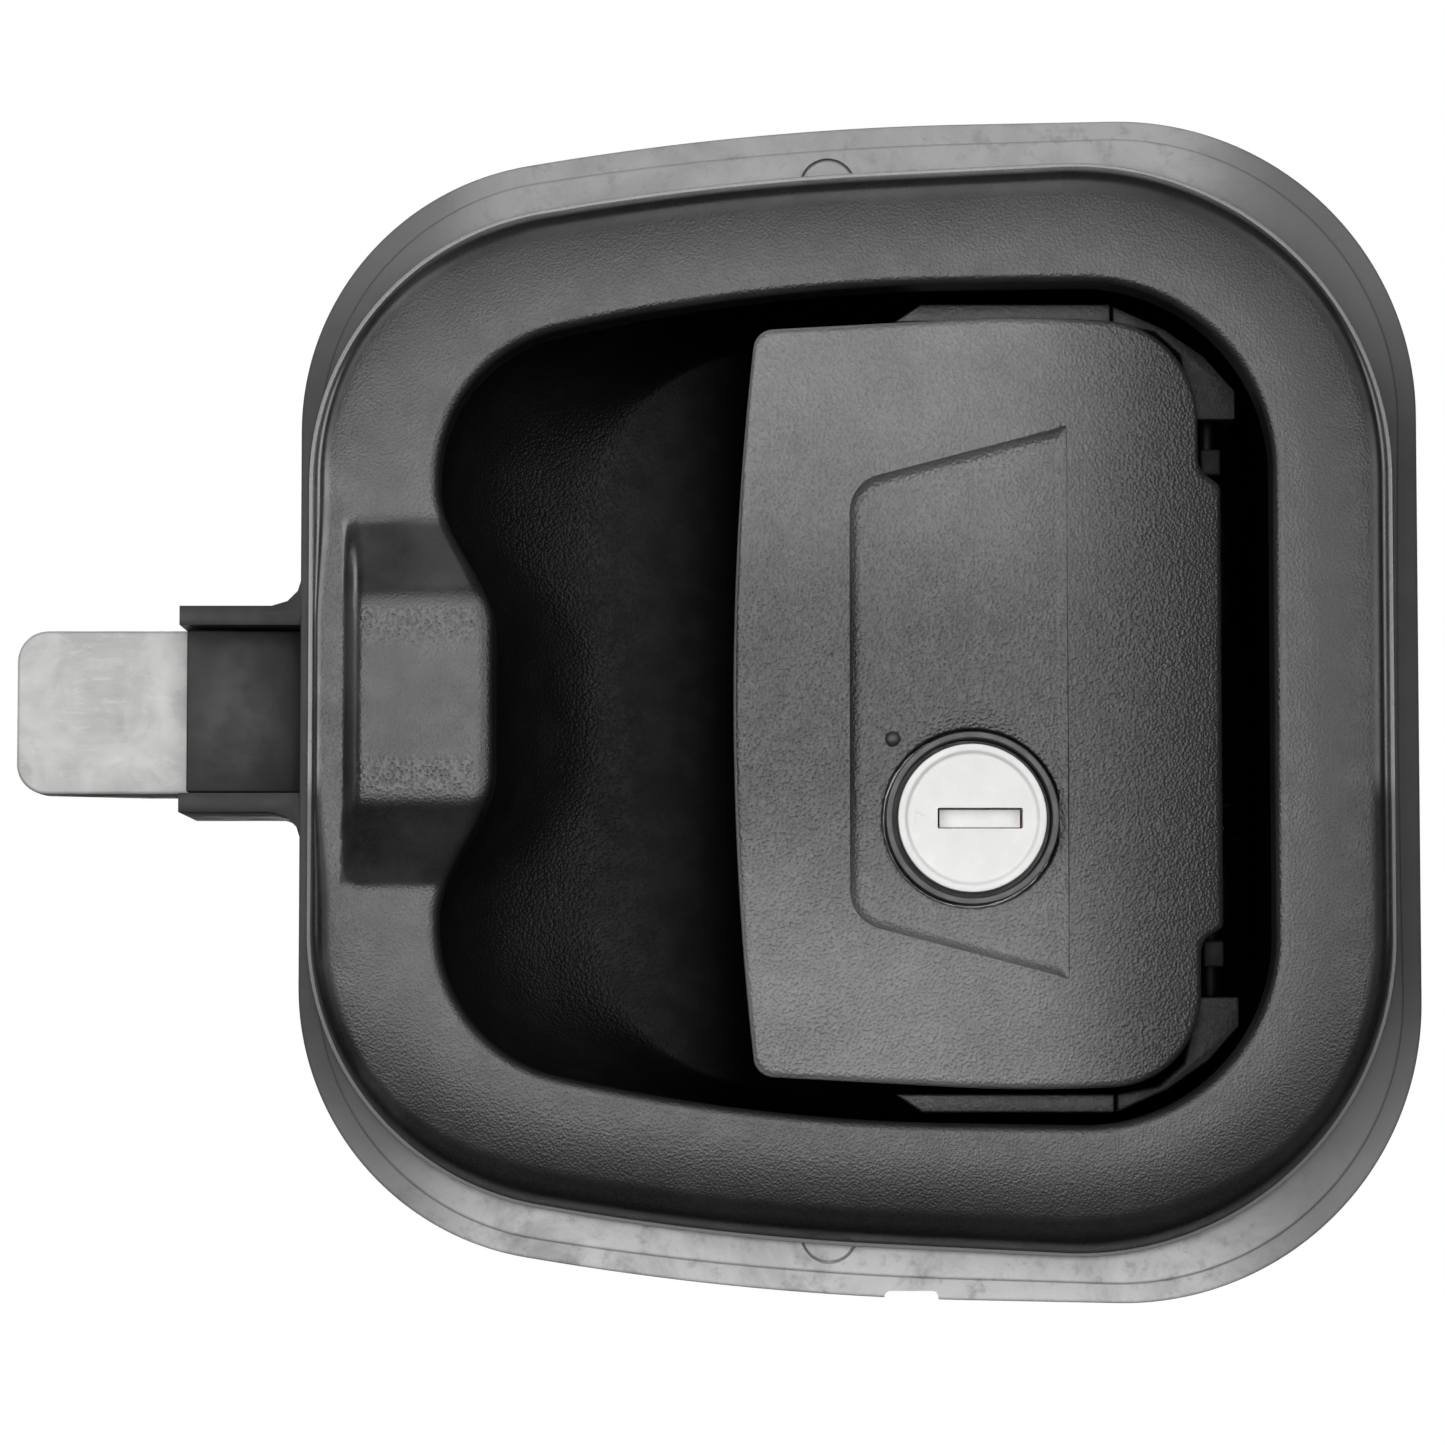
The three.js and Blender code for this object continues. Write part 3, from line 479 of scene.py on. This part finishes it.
def make_case_plastic():
    s = Surface("case_plastic", (0.007, 0.007, 0.0073), 0.45, specular=0.22)
    s.relief(s.noise(900.0, 4.0, 0.6), 0.00003)
    s.tint(s.ramp(s.noise(60.0, 5.0), 0.4, 0.75, 0.0, 0.6), (0.016, 0.016, 0.0165))
    scratches = s.ramp(s.noise(160.0, 6.0, 0.7, (1.0, 1.0, 14.0), 0.6), 0.66, 0.7)
    s.tint(s.math("MULTIPLY", scratches, 0.35), (0.07, 0.07, 0.07))
    s.roughness(s.ramp(s.noise(200.0, 4.0), 0.3, 0.7, 0.38, 0.55))
    # painted shade: less shine towards the right, at the hinge
    s.shine(s.ramp(s.axis("X"), 0.034, 0.040, 0.25, 0.03))
    return s.material


def make_gasket_rubber():
    """Dusty grey rubber, palest above and below the bezel and dark beside it."""
    s = Surface("gasket_rubber", (0.25, 0.25, 0.25), 0.62, specular=0.12)
    below = s.ramp(s.axis("Z"), -0.060, -0.055, 1.0, 0.0)
    s.tint(below, (0.43, 0.43, 0.43))
    s.tint(s.ramp(s.noise(45.0, 6.0, 0.65, None, 1.2), 0.4, 0.75, 0.0, 0.8), (0.17, 0.17, 0.17))
    s.tint(s.ramp(s.noise(400.0, 4.0, 0.7), 0.5, 0.75, 0.0, 0.5), (0.12, 0.12, 0.12))
    corner = s.ramp(s.away("X"), 0.040, 0.062, 0.0, 0.9)
    s.tint(corner, (0.115, 0.115, 0.115))
    above = s.ramp(s.axis("Z"), 0.02, 0.04)
    s.tint(s.math("MULTIPLY", corner, above), (0.085, 0.085, 0.085))
    away = s.ramp(s.away("Z"), 0.030, 0.062, 1.0, 0.0)
    s.tint(s.math("MULTIPLY", away, 0.95), (0.032, 0.032, 0.032))
    at_left = s.ramp(s.axis("X"), -0.02, -0.05)
    s.tint(s.math("MULTIPLY", away, at_left), (0.05, 0.05, 0.05))
    # painted shade: the gasket is near-black where it lies under the bezel
    inside = s.math("MULTIPLY", s.ramp(s.away("X"), 0.060, 0.057), s.ramp(s.away("Z"), 0.055, 0.050))
    s.tint(inside, (0.006, 0.006, 0.006))
    s.relief(s.noise(1100.0, 4.0, 0.6), 0.00005)
    s.roughness(s.ramp(s.noise(300.0, 4.0), 0.3, 0.7, 0.55, 0.75))
    return s.material


def make_collar_plastic():
    s = Surface("collar_plastic", (0.02, 0.02, 0.0202), 0.42, specular=0.45)
    s.relief(s.noise(2200.0, 3.0), 0.00001)
    s.tint(s.ramp(s.noise(700.0, 4.0), 0.45, 0.75, 0.0, 0.5), (0.016, 0.016, 0.016))
    s.roughness(s.ramp(s.noise(500.0), 0.3, 0.7, 0.36, 0.48))
    return s.material


def metal(name, color, rough, cloudy=0.8, grain=None, tone=0.7, metallic=1.0, painted_shade=None):
    """Metal with cloudy patches, faint scratches and a brushed or cast grain, and, where asked, painted shade
    towards the hinge at the right.
    """
    s = Surface(name, color, rough, metallic)
    dull = tuple(c * tone for c in color)
    s.tint(s.ramp(s.noise(110.0, 6.0, 0.6, None, 0.8), 0.35, 0.72, 0.0, cloudy), dull)
    scratch = s.ramp(s.noise(420.0, 6.0, 0.7, grain or (1.0, 1.0, 1.0), 0.3), 0.5, 0.72, 0.0, 0.45)
    s.tint(scratch, tuple(min(1, c * 1.15) for c in color))
    s.relief(s.noise(1400.0, 4.0, 0.6, grain), 0.00001)
    s.roughness(s.ramp(s.noise(260.0, 5.0), 0.3, 0.7, rough - 0.08, rough + 0.1))
    # painted shade: the metal is painted near-black towards the hinge at the right
    if painted_shade:
        s.tint(s.ramp(s.axis("X"), 0.030, 0.036), tuple(c * painted_shade for c in color))
    return s.material


def make_bolt_metal():
    return metal("bolt_metal", (0.34, 0.34, 0.335), 0.5, 0.8, (1.0, 1.0, 3.0), 0.64, 0.1)


def make_lock_metal():
    return metal("lock_metal", (0.53, 0.53, 0.525), 0.5, 0.4, None, 0.88, 0.0)


def make_steel():
    return metal("zinc_steel", (0.56, 0.56, 0.55), 0.38, 0.6, (1.0, 1.0, 6.0), 0.75, painted_shade=0.012)


def make_spring_steel():
    return metal("spring_steel", (0.35, 0.35, 0.36), 0.32, 0.5, painted_shade=0.02)


def make_brass():
    return metal("brass", (0.70, 0.52, 0.24), 0.3, 0.5, (1.0, 8.0, 1.0), 0.75)


MATERIALS = {
    "bezel_plastic": make_bezel_plastic(),
    "paddle_plastic": make_paddle_plastic(),
    "cup_plastic": make_cup_plastic(),
    "ledge_plastic": make_ledge_plastic(),
    "case_plastic": make_case_plastic(),
    "gasket_rubber": make_gasket_rubber(),
    "collar_plastic": make_collar_plastic(),
    "bolt_metal": make_bolt_metal(),
    "lock_metal": make_lock_metal(),
    "steel": make_steel(),
    "spring_steel": make_spring_steel(),
    "brass": make_brass(),
}
SLOT_OF = {s["node"]: s["material_slot"] for s in frame["record"]["subparts"]}
BODY_OF = {n: b for b, nodes in frame["record"]["behaviour"]["bodies"].items() for n in nodes}


def stand_for(node, mesh, sharp=35):
    """Puts a mesh in the place of a CAD node, on its body and in its material."""
    return finish_mesh(node + "_fine", mesh, BODY_OF[node], SLOT_OF[node], [node], sharp)


def paint(mesh, name, values):
    """Keeps one number for each point of a mesh, for its material to read."""
    layer = mesh.attributes.new(name, "FLOAT", "POINT")
    layer.data.foreach_set("value", values)


# ------------------------------------------------------------------ bezel, cup and gasket
RAYS = np.arange(840) * TAU / 840


def with_hump(loop):
    """The rim moved right where the grip stands in its left side."""
    t = (27.5 - np.abs(loop[:, 1])) / (27.5 - 9.0)
    shift = np.where(loop[:, 0] < 0, 7.2 * smooth(t), 0)
    return np.stack((loop[:, 0] + shift, loop[:, 1]), 1)


OUTER_LOOP = ray_loop(rounded(mirrored(BEZEL)), RAYS)
RIM_LOOP = with_hump(ray_loop(rounded(mirrored(RIM)), RAYS))
FLOOR_LOOP = ray_loop(rounded(mirrored(FLOOR)), RAYS)


def eased_ramp(t, round_off=0.12):
    """0 to 1 in a straight slope whose two ends are rounded."""
    t = np.asarray(t, float)
    total = 0
    for shift in (-round_off, -round_off / 2, 0, round_off / 2, round_off):
        total = total + np.clip(t + shift, 0, 1)
    return total / 5


def hump_rise(x, z):
    """Share of the grip's height at a place: flat on top, ramps above and below, a shoulder at the left."""
    ends = 1 - eased_ramp((np.abs(z) - HUMP_TOP) / (HUMP_FOOT - HUMP_TOP), 0.06)
    shoulder = eased_ramp((x + 64.4) / 1.7, 0.2)
    return np.where(x < 0, ends * shoulder, 0)


def edge_width(loop):
    """Share of the bezel's width that its steep edge takes: most above and below, least beside the hump."""
    side = smooth((np.abs(loop[:, 0]) - 45) / 22)
    middle = 1 - smooth((np.abs(loop[:, 1]) - 10) / 22)
    return 0.2 - side * np.where(loop[:, 0] > 0, 0.05, 0.08 + 0.07 * middle)


def bezel_face(t, width):
    """Depth of the bezel's face, from its lip, t = 0, to its crown: a steep edge and then a low dome."""
    edge = 1 - (1 - np.minimum(1, t / width)) ** 3
    dome = 1 - (1 - min(1, t / 0.8)) ** 2
    return LIP_Y + (CROWN_Y - LIP_Y) * (0.65 * edge + 0.35 * dome)


def make_bezel():
    width = edge_width(OUTER_LOOP)
    rings, calm = [], []

    def ring(t, y, raised=False, inset=0.0):
        loop = OUTER_LOOP + (RIM_LOOP - OUTER_LOOP) * t
        if inset:
            loop = pushed_out(loop, -inset)
        x, high = loop[:, 0], np.abs(loop[:, 1])
        rise = HUMP_HEIGHT * hump_rise(x, loop[:, 1]) if raised else 0
        rings.append(ring3(loop, y - rise))
        ramp = smooth((high - HUMP_TOP - 0.5) / 1.2) * smooth((HUMP_FOOT + 0.5 - high) / 1.2)
        slope = smooth((1.6 * width - t) / (0.5 * width))
        calm.append(np.maximum(ramp * smooth((-38 - x) / 3) * (x > -65), slope))

    lip, highlight_from, highlight_to = 0.55, 3, 6
    ring(0, BASE_Y, inset=0.1)
    ring(0, BASE_Y - 0.15)
    ring(0, LIP_Y + 0.2)
    ring(0, LIP_Y + 0.05, inset=0.05)
    ring(0, LIP_Y, inset=0.2)
    ring(0, LIP_Y, inset=lip - 0.1)
    spread = np.linspace(0, 1, 30) ** 1.5 * 0.25
    for t in np.concatenate((spread, np.linspace(0.25, 0.92, 24)[1:])):
        ring(t, bezel_face(t, width), True, inset=lip * (1 - t))
    rim_roll = 1.2
    for w in np.linspace(0.1, 1, 10):
        turn = w * math.pi / 2
        ring(0.92 + 0.08 * math.sin(turn), CROWN_Y + rim_roll * (1 - math.cos(turn)), True)
    ring(1, -9.6, True)
    ring(1, WALL_END_Y)
    ring(0.86, WALL_END_Y)
    ring(0.86, BEZEL_BACK_Y, True)
    ring(0.3, BEZEL_BACK_Y + 0.4, True)
    ring(0.13, WALL_END_Y)
    ring(0.13, BASE_Y)
    mesh = loft(rings)
    # the lip's rings are marked for a painted highlight
    edge = np.zeros(len(mesh.vertices))
    edge[len(RAYS) * highlight_from:len(RAYS) * highlight_to] = 1
    paint(mesh, "edge", edge)
    paint(mesh, "calm", np.concatenate(calm))
    return stand_for("bezel", mesh, 50)


def make_bosses():
    """The corner bosses under the bezel, each round a threaded insert."""
    places = [(-51.4, 48.6), (52.5, 51.9), (-51.4, -48.6), (52.5, -51.9)]
    for i, (x, z) in enumerate(places):
        profile = softened([(2.5, 9.0), (3.6, 9.0), (3.6, -9.6), (2.5, -9.6), (2.5, 9.0)], 0.3)
        finish_mesh(f"corner_boss_{i + 1}", turned(profile, x, z, 40), "housing", "bezel_plastic", [])
        insert = softened([(1.3, 1), (2.2, 1), (2.2, 4.4), (1.9, 4.8), (1.9, 5.6), (2.2, 6), (2.2, 9),
                           (1.3, 9), (1.3, 1)], 0.15)
        stand_for(f"mounting_insert_{i + 1}", turned(insert, x, z, 40))


def cup_ring(t, y, out=0.0):
    """A ring of the cup between its rim, t = 0, and its floor, t = 1."""
    loop = RIM_LOOP + (FLOOR_LOOP - RIM_LOOP) * t
    return ring3(pushed_out(loop, out) if out else loop, y)


def make_cup():
    rings = []
    angles = np.linspace(math.pi / 2, 0.0, 36)
    for shrink in (0.3, 0.6, 0.85):
        rings.append(ring3(FLOOR_LOOP * shrink + np.array((8, 0)) * (1 - shrink), CUP_FLOOR_Y))
    for w in angles:
        rings.append(cup_ring(1 - math.cos(w), CUP_RIM_Y + (CUP_FLOOR_Y - CUP_RIM_Y) * math.sin(w)))
    rings.append(cup_ring(0, CUP_RIM_Y, CUP_FLANGE))
    rings.append(cup_ring(0, CUP_RIM_Y + CUP_WALL, CUP_FLANGE))
    for w in angles[::-1]:
        y = CUP_RIM_Y + CUP_WALL + (CUP_FLOOR_Y - CUP_RIM_Y) * math.sin(w)
        rings.append(cup_ring(1 - math.cos(w), y, CUP_WALL * (1 - 0.4 * math.sin(w))))
    mesh = loft(rings, capped=True)
    slot = extruded(rounded([(34.5, 19.6, 1), (50.6, 19.6, 1), (50.6, 10.4, 1), (34.5, 10.4, 1)], 6), 12, 22)
    return stand_for("pull_cup", cut(mesh, slot), 40)


def make_gasket():
    inner = ray_loop(rounded(mirrored(CUTOUT)), RAYS)
    outer = pushed_out(ray_loop(rounded(mirrored(GASKET)), RAYS), -0.05)
    step = GASKET_LIP_WIDTH
    front, lip = GASKET_FRONT, GASKET_LIP
    section = [(step + 0.5, front), (step + 0.3, front + 0.04), (step + 0.1, front + 0.25), (step, lip - 0.1),
               (step - 0.2, lip), (0.5, lip), (0.22, lip + 0.07), (0.06, lip + 0.24), (0.0, lip + 0.5),
               (0.0, -0.15), (0.1, 0.0)]
    rings = [ring3(inner, 0.0), ring3(inner, GASKET_FRONT)]
    rings += [ring3(pushed_out(outer, -inset), y) for inset, y in section]
    mesh = loft(rings)
    turns = np.arange(48) * TAU / 48
    hole = (PEG_RADIUS + 0.3) * np.stack((np.cos(turns), np.sin(turns)), 1)
    holes = [loft([ring3(hole + place, y) for y in (-4.0, -0.9)], capped=True) for place in PEGS]
    notch = [(4.5, -75.2, 0.8), (11.5, -75.2, 0.8), (11.5, -80, 0.1), (4.5, -80, 0.1)]
    drain = extruded(rounded(notch, 6), -3, 2)
    return stand_for("door_gasket", cut(mesh, *holes, drain), 40)


def make_pegs():
    for i, (x, z) in enumerate(PEGS):
        profile = softened([(0, -1.0), (PEG_RADIUS, -1.0), (PEG_RADIUS, -2.0), (0, -2.0)], 0.3)
        stand_for(f"gasket_peg_{i + 1}", turned(profile, x, z, 48))


# ------------------------------------------------------------------ paddle
def paddle_front(x):
    """Depth of the paddle's face, which bends back at the right."""
    bend = np.maximum(0, x - PADDLE_BEND_X) / 26.0
    return PADDLE_FRONT + PADDLE_BEND * bend * bend


def panel_corners(share):
    """The panel's half outline drawn in by a share of its wall, which is narrower at the right."""
    (left, low, radius), (right, high, sharp) = PANEL
    wall, narrow = 1.7 * share, 1.1 * share
    rise = (high - low) / (right - left)
    drop = wall * math.hypot(1, rise)
    return [(left + wall, low + rise * wall - drop, radius - wall),
            (right - narrow, high - rise * narrow - drop, sharp)]


def towards(loop, target, distance):
    """A loop moved by a distance towards another, point by point, and not quite past it."""
    d = target - loop
    length = np.linalg.norm(d, axis=1)[:, None]
    return loop + d / np.maximum(length, 1e-6) * np.minimum(distance, length * 0.98)


def make_paddle():
    corners = panel_corners(0) + panel_corners(1)
    corner_angles = [math.atan2(s * z - LOCK[1], x - LOCK[0]) for x, z, _ in corners for s in (1, -1)]
    rays = np.sort(np.concatenate((np.arange(720) * TAU / 720 - math.pi, corner_angles)))
    hole = np.array(LOCK) + LOCK_HOLE * np.stack((np.cos(rays), np.sin(rays)), 1)
    outline = ray_loop(rounded(mirrored(PADDLE)), rays, LOCK)

    def panel_loop(share):
        return ray_loop(rounded(mirrored(panel_corners(share)), 12), rays, LOCK)

    panel = panel_loop(0)
    right = smooth((panel[:, 0] - 26.5) / 1.2)
    floor_steps, wall_steps, face_steps, round_steps = 14, 14, 26, 10
    rings = []

    def put(loop, sink):
        rings.append(ring3(loop, paddle_front(loop[:, 0]) + sink))

    put(hole, PANEL_BACK)
    put(hole, PANEL_DEPTH + 0.25)
    put(pushed_out(hole, 0.1, LOCK), PANEL_DEPTH + 0.06)
    lock_edge = pushed_out(hole, 0.3, LOCK)
    put(lock_edge, PANEL_DEPTH)
    inside = panel_loop(1)
    for t in np.linspace(0.1, 1.0, floor_steps):
        put(lock_edge * (1 - t) + inside * t, PANEL_DEPTH)
    for share in np.linspace(1, 0, wall_steps + 1)[1:]:
        hollow = 1 - (1 - share) ** 2.4
        slope = 0.55 + 0.45 * share
        put(panel_loop(share), PANEL_DEPTH * ((1 - right) * hollow + right * slope))
    start = towards(panel, outline, 0.12)
    put(start, 0.0)
    edge_radius = 1.0
    end = towards(outline, panel, edge_radius)
    for t in np.linspace(0.04, 1.0, face_steps):
        put(start * (1 - t) + end * t, 0.0)
    highlight_from = len(rings) + 4
    for k in range(1, round_steps + 1):
        w = k / round_steps * math.pi / 2
        put(towards(outline, panel, edge_radius * (1 - math.sin(w))), edge_radius * (1 - math.cos(w)))
    skirt = PADDLE_SKIRT - 3.4 * smooth((outline[:, 0] - 28) / 12)
    put(outline, skirt - 0.3)
    put(towards(outline, panel, 0.3), skirt)
    put(towards(outline, panel, 1.9), skirt)
    put(towards(outline, panel, 2.1), PADDLE_SKIN + 0.3)
    put(towards(outline, panel, 2.5), PADDLE_SKIN)
    put(pushed_out(hole, 1.0, LOCK), PANEL_BACK)
    mesh = loft(rings)
    count = len(rays)
    # rings round the paddle's rounded edge are marked, most at the left, for a painted highlight
    edge = np.zeros(len(mesh.vertices))
    left = np.clip((10 - outline[:, 0]) / 12, 0, 1)
    for k in range(highlight_from, highlight_from + 4):
        edge[k * count:(k + 1) * count] = 0.55 * left
    paint(mesh, "edge", edge)
    nub_hole = turned([(0, -16), (1.05, -16), (1.05, -11.2), (0, -11.2)], *NUB, 24)
    return stand_for("paddle_shell", cut(mesh, nub_hole), 50)


def make_nub():
    radius, shoulder = 0.9, -11.9
    profile = [(0, -11.4), (radius, -11.4), (radius, shoulder)]
    turns = np.linspace(0.2, math.pi / 2, 8)
    profile += [(radius * math.cos(w), shoulder - 0.55 * math.sin(w)) for w in turns]
    stand_for("index_nub", turned(profile, *NUB, 32))


# ------------------------------------------------------------------ lock
def make_lock():
    x, z = LOCK
    housing = softened([(10.1, -12.7), (10.25, -12.9), (10.95, -12.9), (11.05, -12.7), (11.05, -6.2),
                        (9.9, -6.2), (9.9, 7.6), (8.2, 7.6), (8.2, -8.8), (10.1, -8.8), (10.1, -12.7)], 0.08)
    stand_for("lock_housing", turned(housing, x, z, 96), 45)
    nut = softened([(10.2, -5.6), (12.8, -5.6), (12.8, -2.8), (10.2, -2.8), (10.2, -5.6)], 0.5)
    stand_for("lock_nut", turned(nut, x, z, 64))
    face = softened([(0, -9.2), (9.45, -9.2), (9.45, -12.6), (8.6, -12.6), (8.2, -12.15), (0, -12.1)], 0.22)
    slot = rounded([(x - 4.43, z + 1.33, 0.25), (x + 6.43, z + 1.33, 0.25), (x + 6.43, z - 1.33, 0.25),
                    (x - 4.43, z - 1.33, 0.25)], 5)
    mark = np.array([(x - 7.3, z + 0.9), (x - 5.6, z), (x - 7.3, z - 0.9)])
    face_mesh = cut(turned(face, x, z, 128), extruded(slot, -20, 0), extruded(mark, -20, -12.02))
    stand_for("plug_face", face_mesh, 40)


# ------------------------------------------------------------------ latch
def make_bolt():
    """A flat bolt with a slanted face behind its tip and a round pocket for its spring."""
    corners = [(-109, 10.75, 4), (-70, 10.75, 0.6), (-70, -10.75, 0.6), (-109, -10.75, 4)]
    body = extruded(rounded(corners, 12), 8, 18.9)
    wedge = bpy.data.meshes.new("wedge")
    profile = [(-111, 10.6), (-93, 18.9), (-93, 22), (-111, 22)]
    verts = [(x * MM, y * MM, z * MM) for z in (-12, 12) for x, y in profile]
    faces = [(0, 1, 2, 3), (7, 6, 5, 4)] + [(i, i + 4, (i + 1) % 4 + 4, (i + 1) % 4) for i in range(4)]
    wedge.from_pydata(verts, [], faces)
    bm = bmesh.new()
    bm.from_mesh(wedge)
    bmesh.ops.recalc_face_normals(bm, faces=bm.faces)
    bm.to_mesh(wedge)
    bm.free()
    pocket = turned([(0, 0), (3.6, 0), (3.6, 13), (0, 13)], 0, 0, 32)
    pocket.transform(along_x_from(-82.0, 13.4, 0.0))
    body = cut(body, wedge, pocket)
    stand_for("latch_bolt", rounded_edges(body, 0.45, 3), 40)


def along_x_from(x, y, z):
    """The move that makes a mesh built along Y run along X from a point in mm."""
    return Matrix.Translation(Vector((x, y, z)) * MM) @ Matrix.Rotation(-math.pi / 2, 4, "Z")


# CAD nodes whose own shape is kept, with the width in mm by which their edges are rounded
REFINED = {
    "latch_case": 0.35, "arm_plate": 0.25, "case_cover": 0.4, "upper_ledge": 0.25, "lower_ledge": 0.25,
    "upper_pivot_cap": 0.3, "lower_pivot_cap": 0.3, "upper_bumper": 0.3, "lower_bumper": 0.3,
    "pull_arm": 0.25, "paddle_backing": 0.2, "bolt_link": 0.2, "bell_crank": 0.25, "lock_cam": 0.2,
    "plug_core": 0.1, "key_shutter": 0.08, "hinge_pin": 0.3, "push_pin": 0.2, "link_pin": 0.2,
    "pivot_pin": 0.1, "link_rivet_1": 0.1, "link_rivet_2": 0.1, "cam_screw": 0.1,
    **{f"{kind}_{i}": 0.08 for kind, n in (("cup_screw", 4), ("cover_screw", 4), ("arm_screw", 2))
       for i in range(1, n + 1)},
}


def make_refined():
    for node, width in REFINED.items():
        stand_for(node, rounded_edges(cleaned(node), width, 2), 40)


def make_bolt_spring():
    """A wound wire from the bolt's pocket to the case."""
    left, length, centre_y, radius, wire, turns = -81.0, 23.0, 13.4, 2.5, 0.45, 8
    along = np.linspace(0, 1, turns * 28 + 1)
    angle = TAU * turns * along
    spread = along - 0.03 * np.sin(TAU * along)
    path = np.stack((left + length * spread, centre_y + radius * np.cos(angle), radius * np.sin(angle)), 1)
    forward = np.gradient(path, axis=0)
    forward /= np.linalg.norm(forward, axis=1)[:, None]
    outward = np.stack((0 * angle, np.cos(angle), np.sin(angle)), 1)
    sideways = np.cross(forward, outward)
    round_wire = np.arange(12) * TAU / 12
    rings = [p + wire * (np.cos(round_wire)[:, None] * o + np.sin(round_wire)[:, None] * q)
             for p, o, q in zip(path, outward, sideways)]
    spring = stand_for("bolt_spring", loft(rings, capped=True), 40)
    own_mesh(spring)


def keep_paddle_spring():
    obj = frame["nodes"]["paddle_spring"]
    obj.data.materials.clear()
    obj.data.materials.append(MATERIALS["spring_steel"])


# ------------------------------------------------------------------ stage, light and camera
def make_stage():
    """A wide pale floor, which the camera sees and the object doesn't mirror."""
    mesh = bpy.data.meshes.new("floor")
    bm = bmesh.new()
    bmesh.ops.create_grid(bm, x_segments=8, y_segments=8, size=20.0)
    bm.to_mesh(mesh)
    bm.free()
    floor = bpy.data.objects.new("floor", mesh)
    bpy.context.scene.collection.objects.link(floor)
    floor.location = (0, 0, -1.0)
    s = Surface("pale_floor", (0.85, 0.85, 0.85), 0.8)
    s.tint(s.ramp(s.noise(3.0, 4.0), 0.4, 0.7, 0.0, 0.3), (0.8, 0.8, 0.8))
    s.shader.inputs["Emission Color"].default_value = (1, 1, 1, 1)
    s.shader.inputs["Emission Strength"].default_value = 1.0
    mesh.materials.append(s.material)
    floor.visible_diffuse = False
    floor.visible_glossy = False


def make_world():
    """White behind the object and almost no light from all round."""
    world = bpy.data.worlds.new("studio")
    bpy.context.scene.world = world
    world.use_nodes = True
    nodes = world.node_tree.nodes
    links = world.node_tree.links
    nodes.clear()
    out = nodes.new("ShaderNodeOutputWorld")
    mix = nodes.new("ShaderNodeMixShader")
    path = nodes.new("ShaderNodeLightPath")
    dim = nodes.new("ShaderNodeBackground")
    bright = nodes.new("ShaderNodeBackground")
    dim.inputs["Color"].default_value = (1, 1, 1, 1)
    dim.inputs["Strength"].default_value = 0.02
    bright.inputs["Color"].default_value = (1, 1, 1, 1)
    bright.inputs["Strength"].default_value = 1.0
    links.new(path.outputs["Is Camera Ray"], mix.inputs["Fac"])
    links.new(dim.outputs[0], mix.inputs[1])
    links.new(bright.outputs[0], mix.inputs[2])
    links.new(mix.outputs[0], out.inputs["Surface"])


def area_light(name, place, size, power):
    """A square soft box that faces the object."""
    data = bpy.data.lights.new(name, "AREA")
    data.size = size
    data.energy = power
    light = bpy.data.objects.new(name, data)
    bpy.context.scene.collection.objects.link(light)
    light.location = place
    light.rotation_euler = (-Vector(place)).to_track_quat("-Z", "Y").to_euler()


# soft boxes 1 m before the object: (turn to the right and lift in degrees, power in watts)
FRONT_LIGHTS = {
    "front": (0, 0, 2.7), "front_left": (-20, 0, 1.6), "left": (-40, 2, 3.3), "front_right": (20, 0, 0.8),
    "right": (40, 2, 2.2), "upper": (0, 20, 2.2), "lower": (0, -14, 0.7), "upper_left": (-32, 28, 1.3),
    "upper_right": (32, 28, 1.1), "top": (0, 45, 1.0),
}


def make_lights():
    """A broad frontal row of soft boxes, a little stronger from the left, and weak lights behind."""
    for name, (turn, lift, power) in FRONT_LIGHTS.items():
        turn, lift = math.radians(turn), math.radians(lift)
        place = (math.sin(turn) * math.cos(lift), -math.cos(turn) * math.cos(lift), math.sin(lift))
        area_light(f"{name}_light", place, 0.35, power)
    area_light("back_light", (0.0, 1.3, 0.3), 0.8, 14.0)
    area_light("left_side_light", (-1.0, 0.6, 0.25), 0.5, 2.5)
    area_light("right_side_light", (1.0, 0.6, 0.25), 0.5, 1.5)


def make_camera():
    """A long lens from a little below, aimed a little left of the bezel's middle."""
    data = bpy.data.cameras.new("camera")
    data.sensor_width = 36.0
    distance, width = 0.65, 0.1864
    data.lens = 36.0 * distance / width
    camera = bpy.data.objects.new("camera", data)
    bpy.context.scene.collection.objects.link(camera)
    target = Vector((-0.0163, -0.004, -0.00215))
    tilt = math.radians(4.0)
    camera.location = target + Vector((0, -math.cos(tilt), -math.sin(tilt))) * distance
    camera.rotation_euler = (target - camera.location).to_track_quat("-Z", "Y").to_euler()
    bpy.context.scene.camera = camera


make_camera()
make_stage()
make_world()
make_lights()
bpy.context.scene.view_settings.view_transform = "Standard"

make_bezel()
make_bosses()
make_cup()
make_gasket()
make_pegs()
make_paddle()
make_nub()
make_lock()
make_bolt()
make_refined()
make_bolt_spring()
keep_paddle_spring()
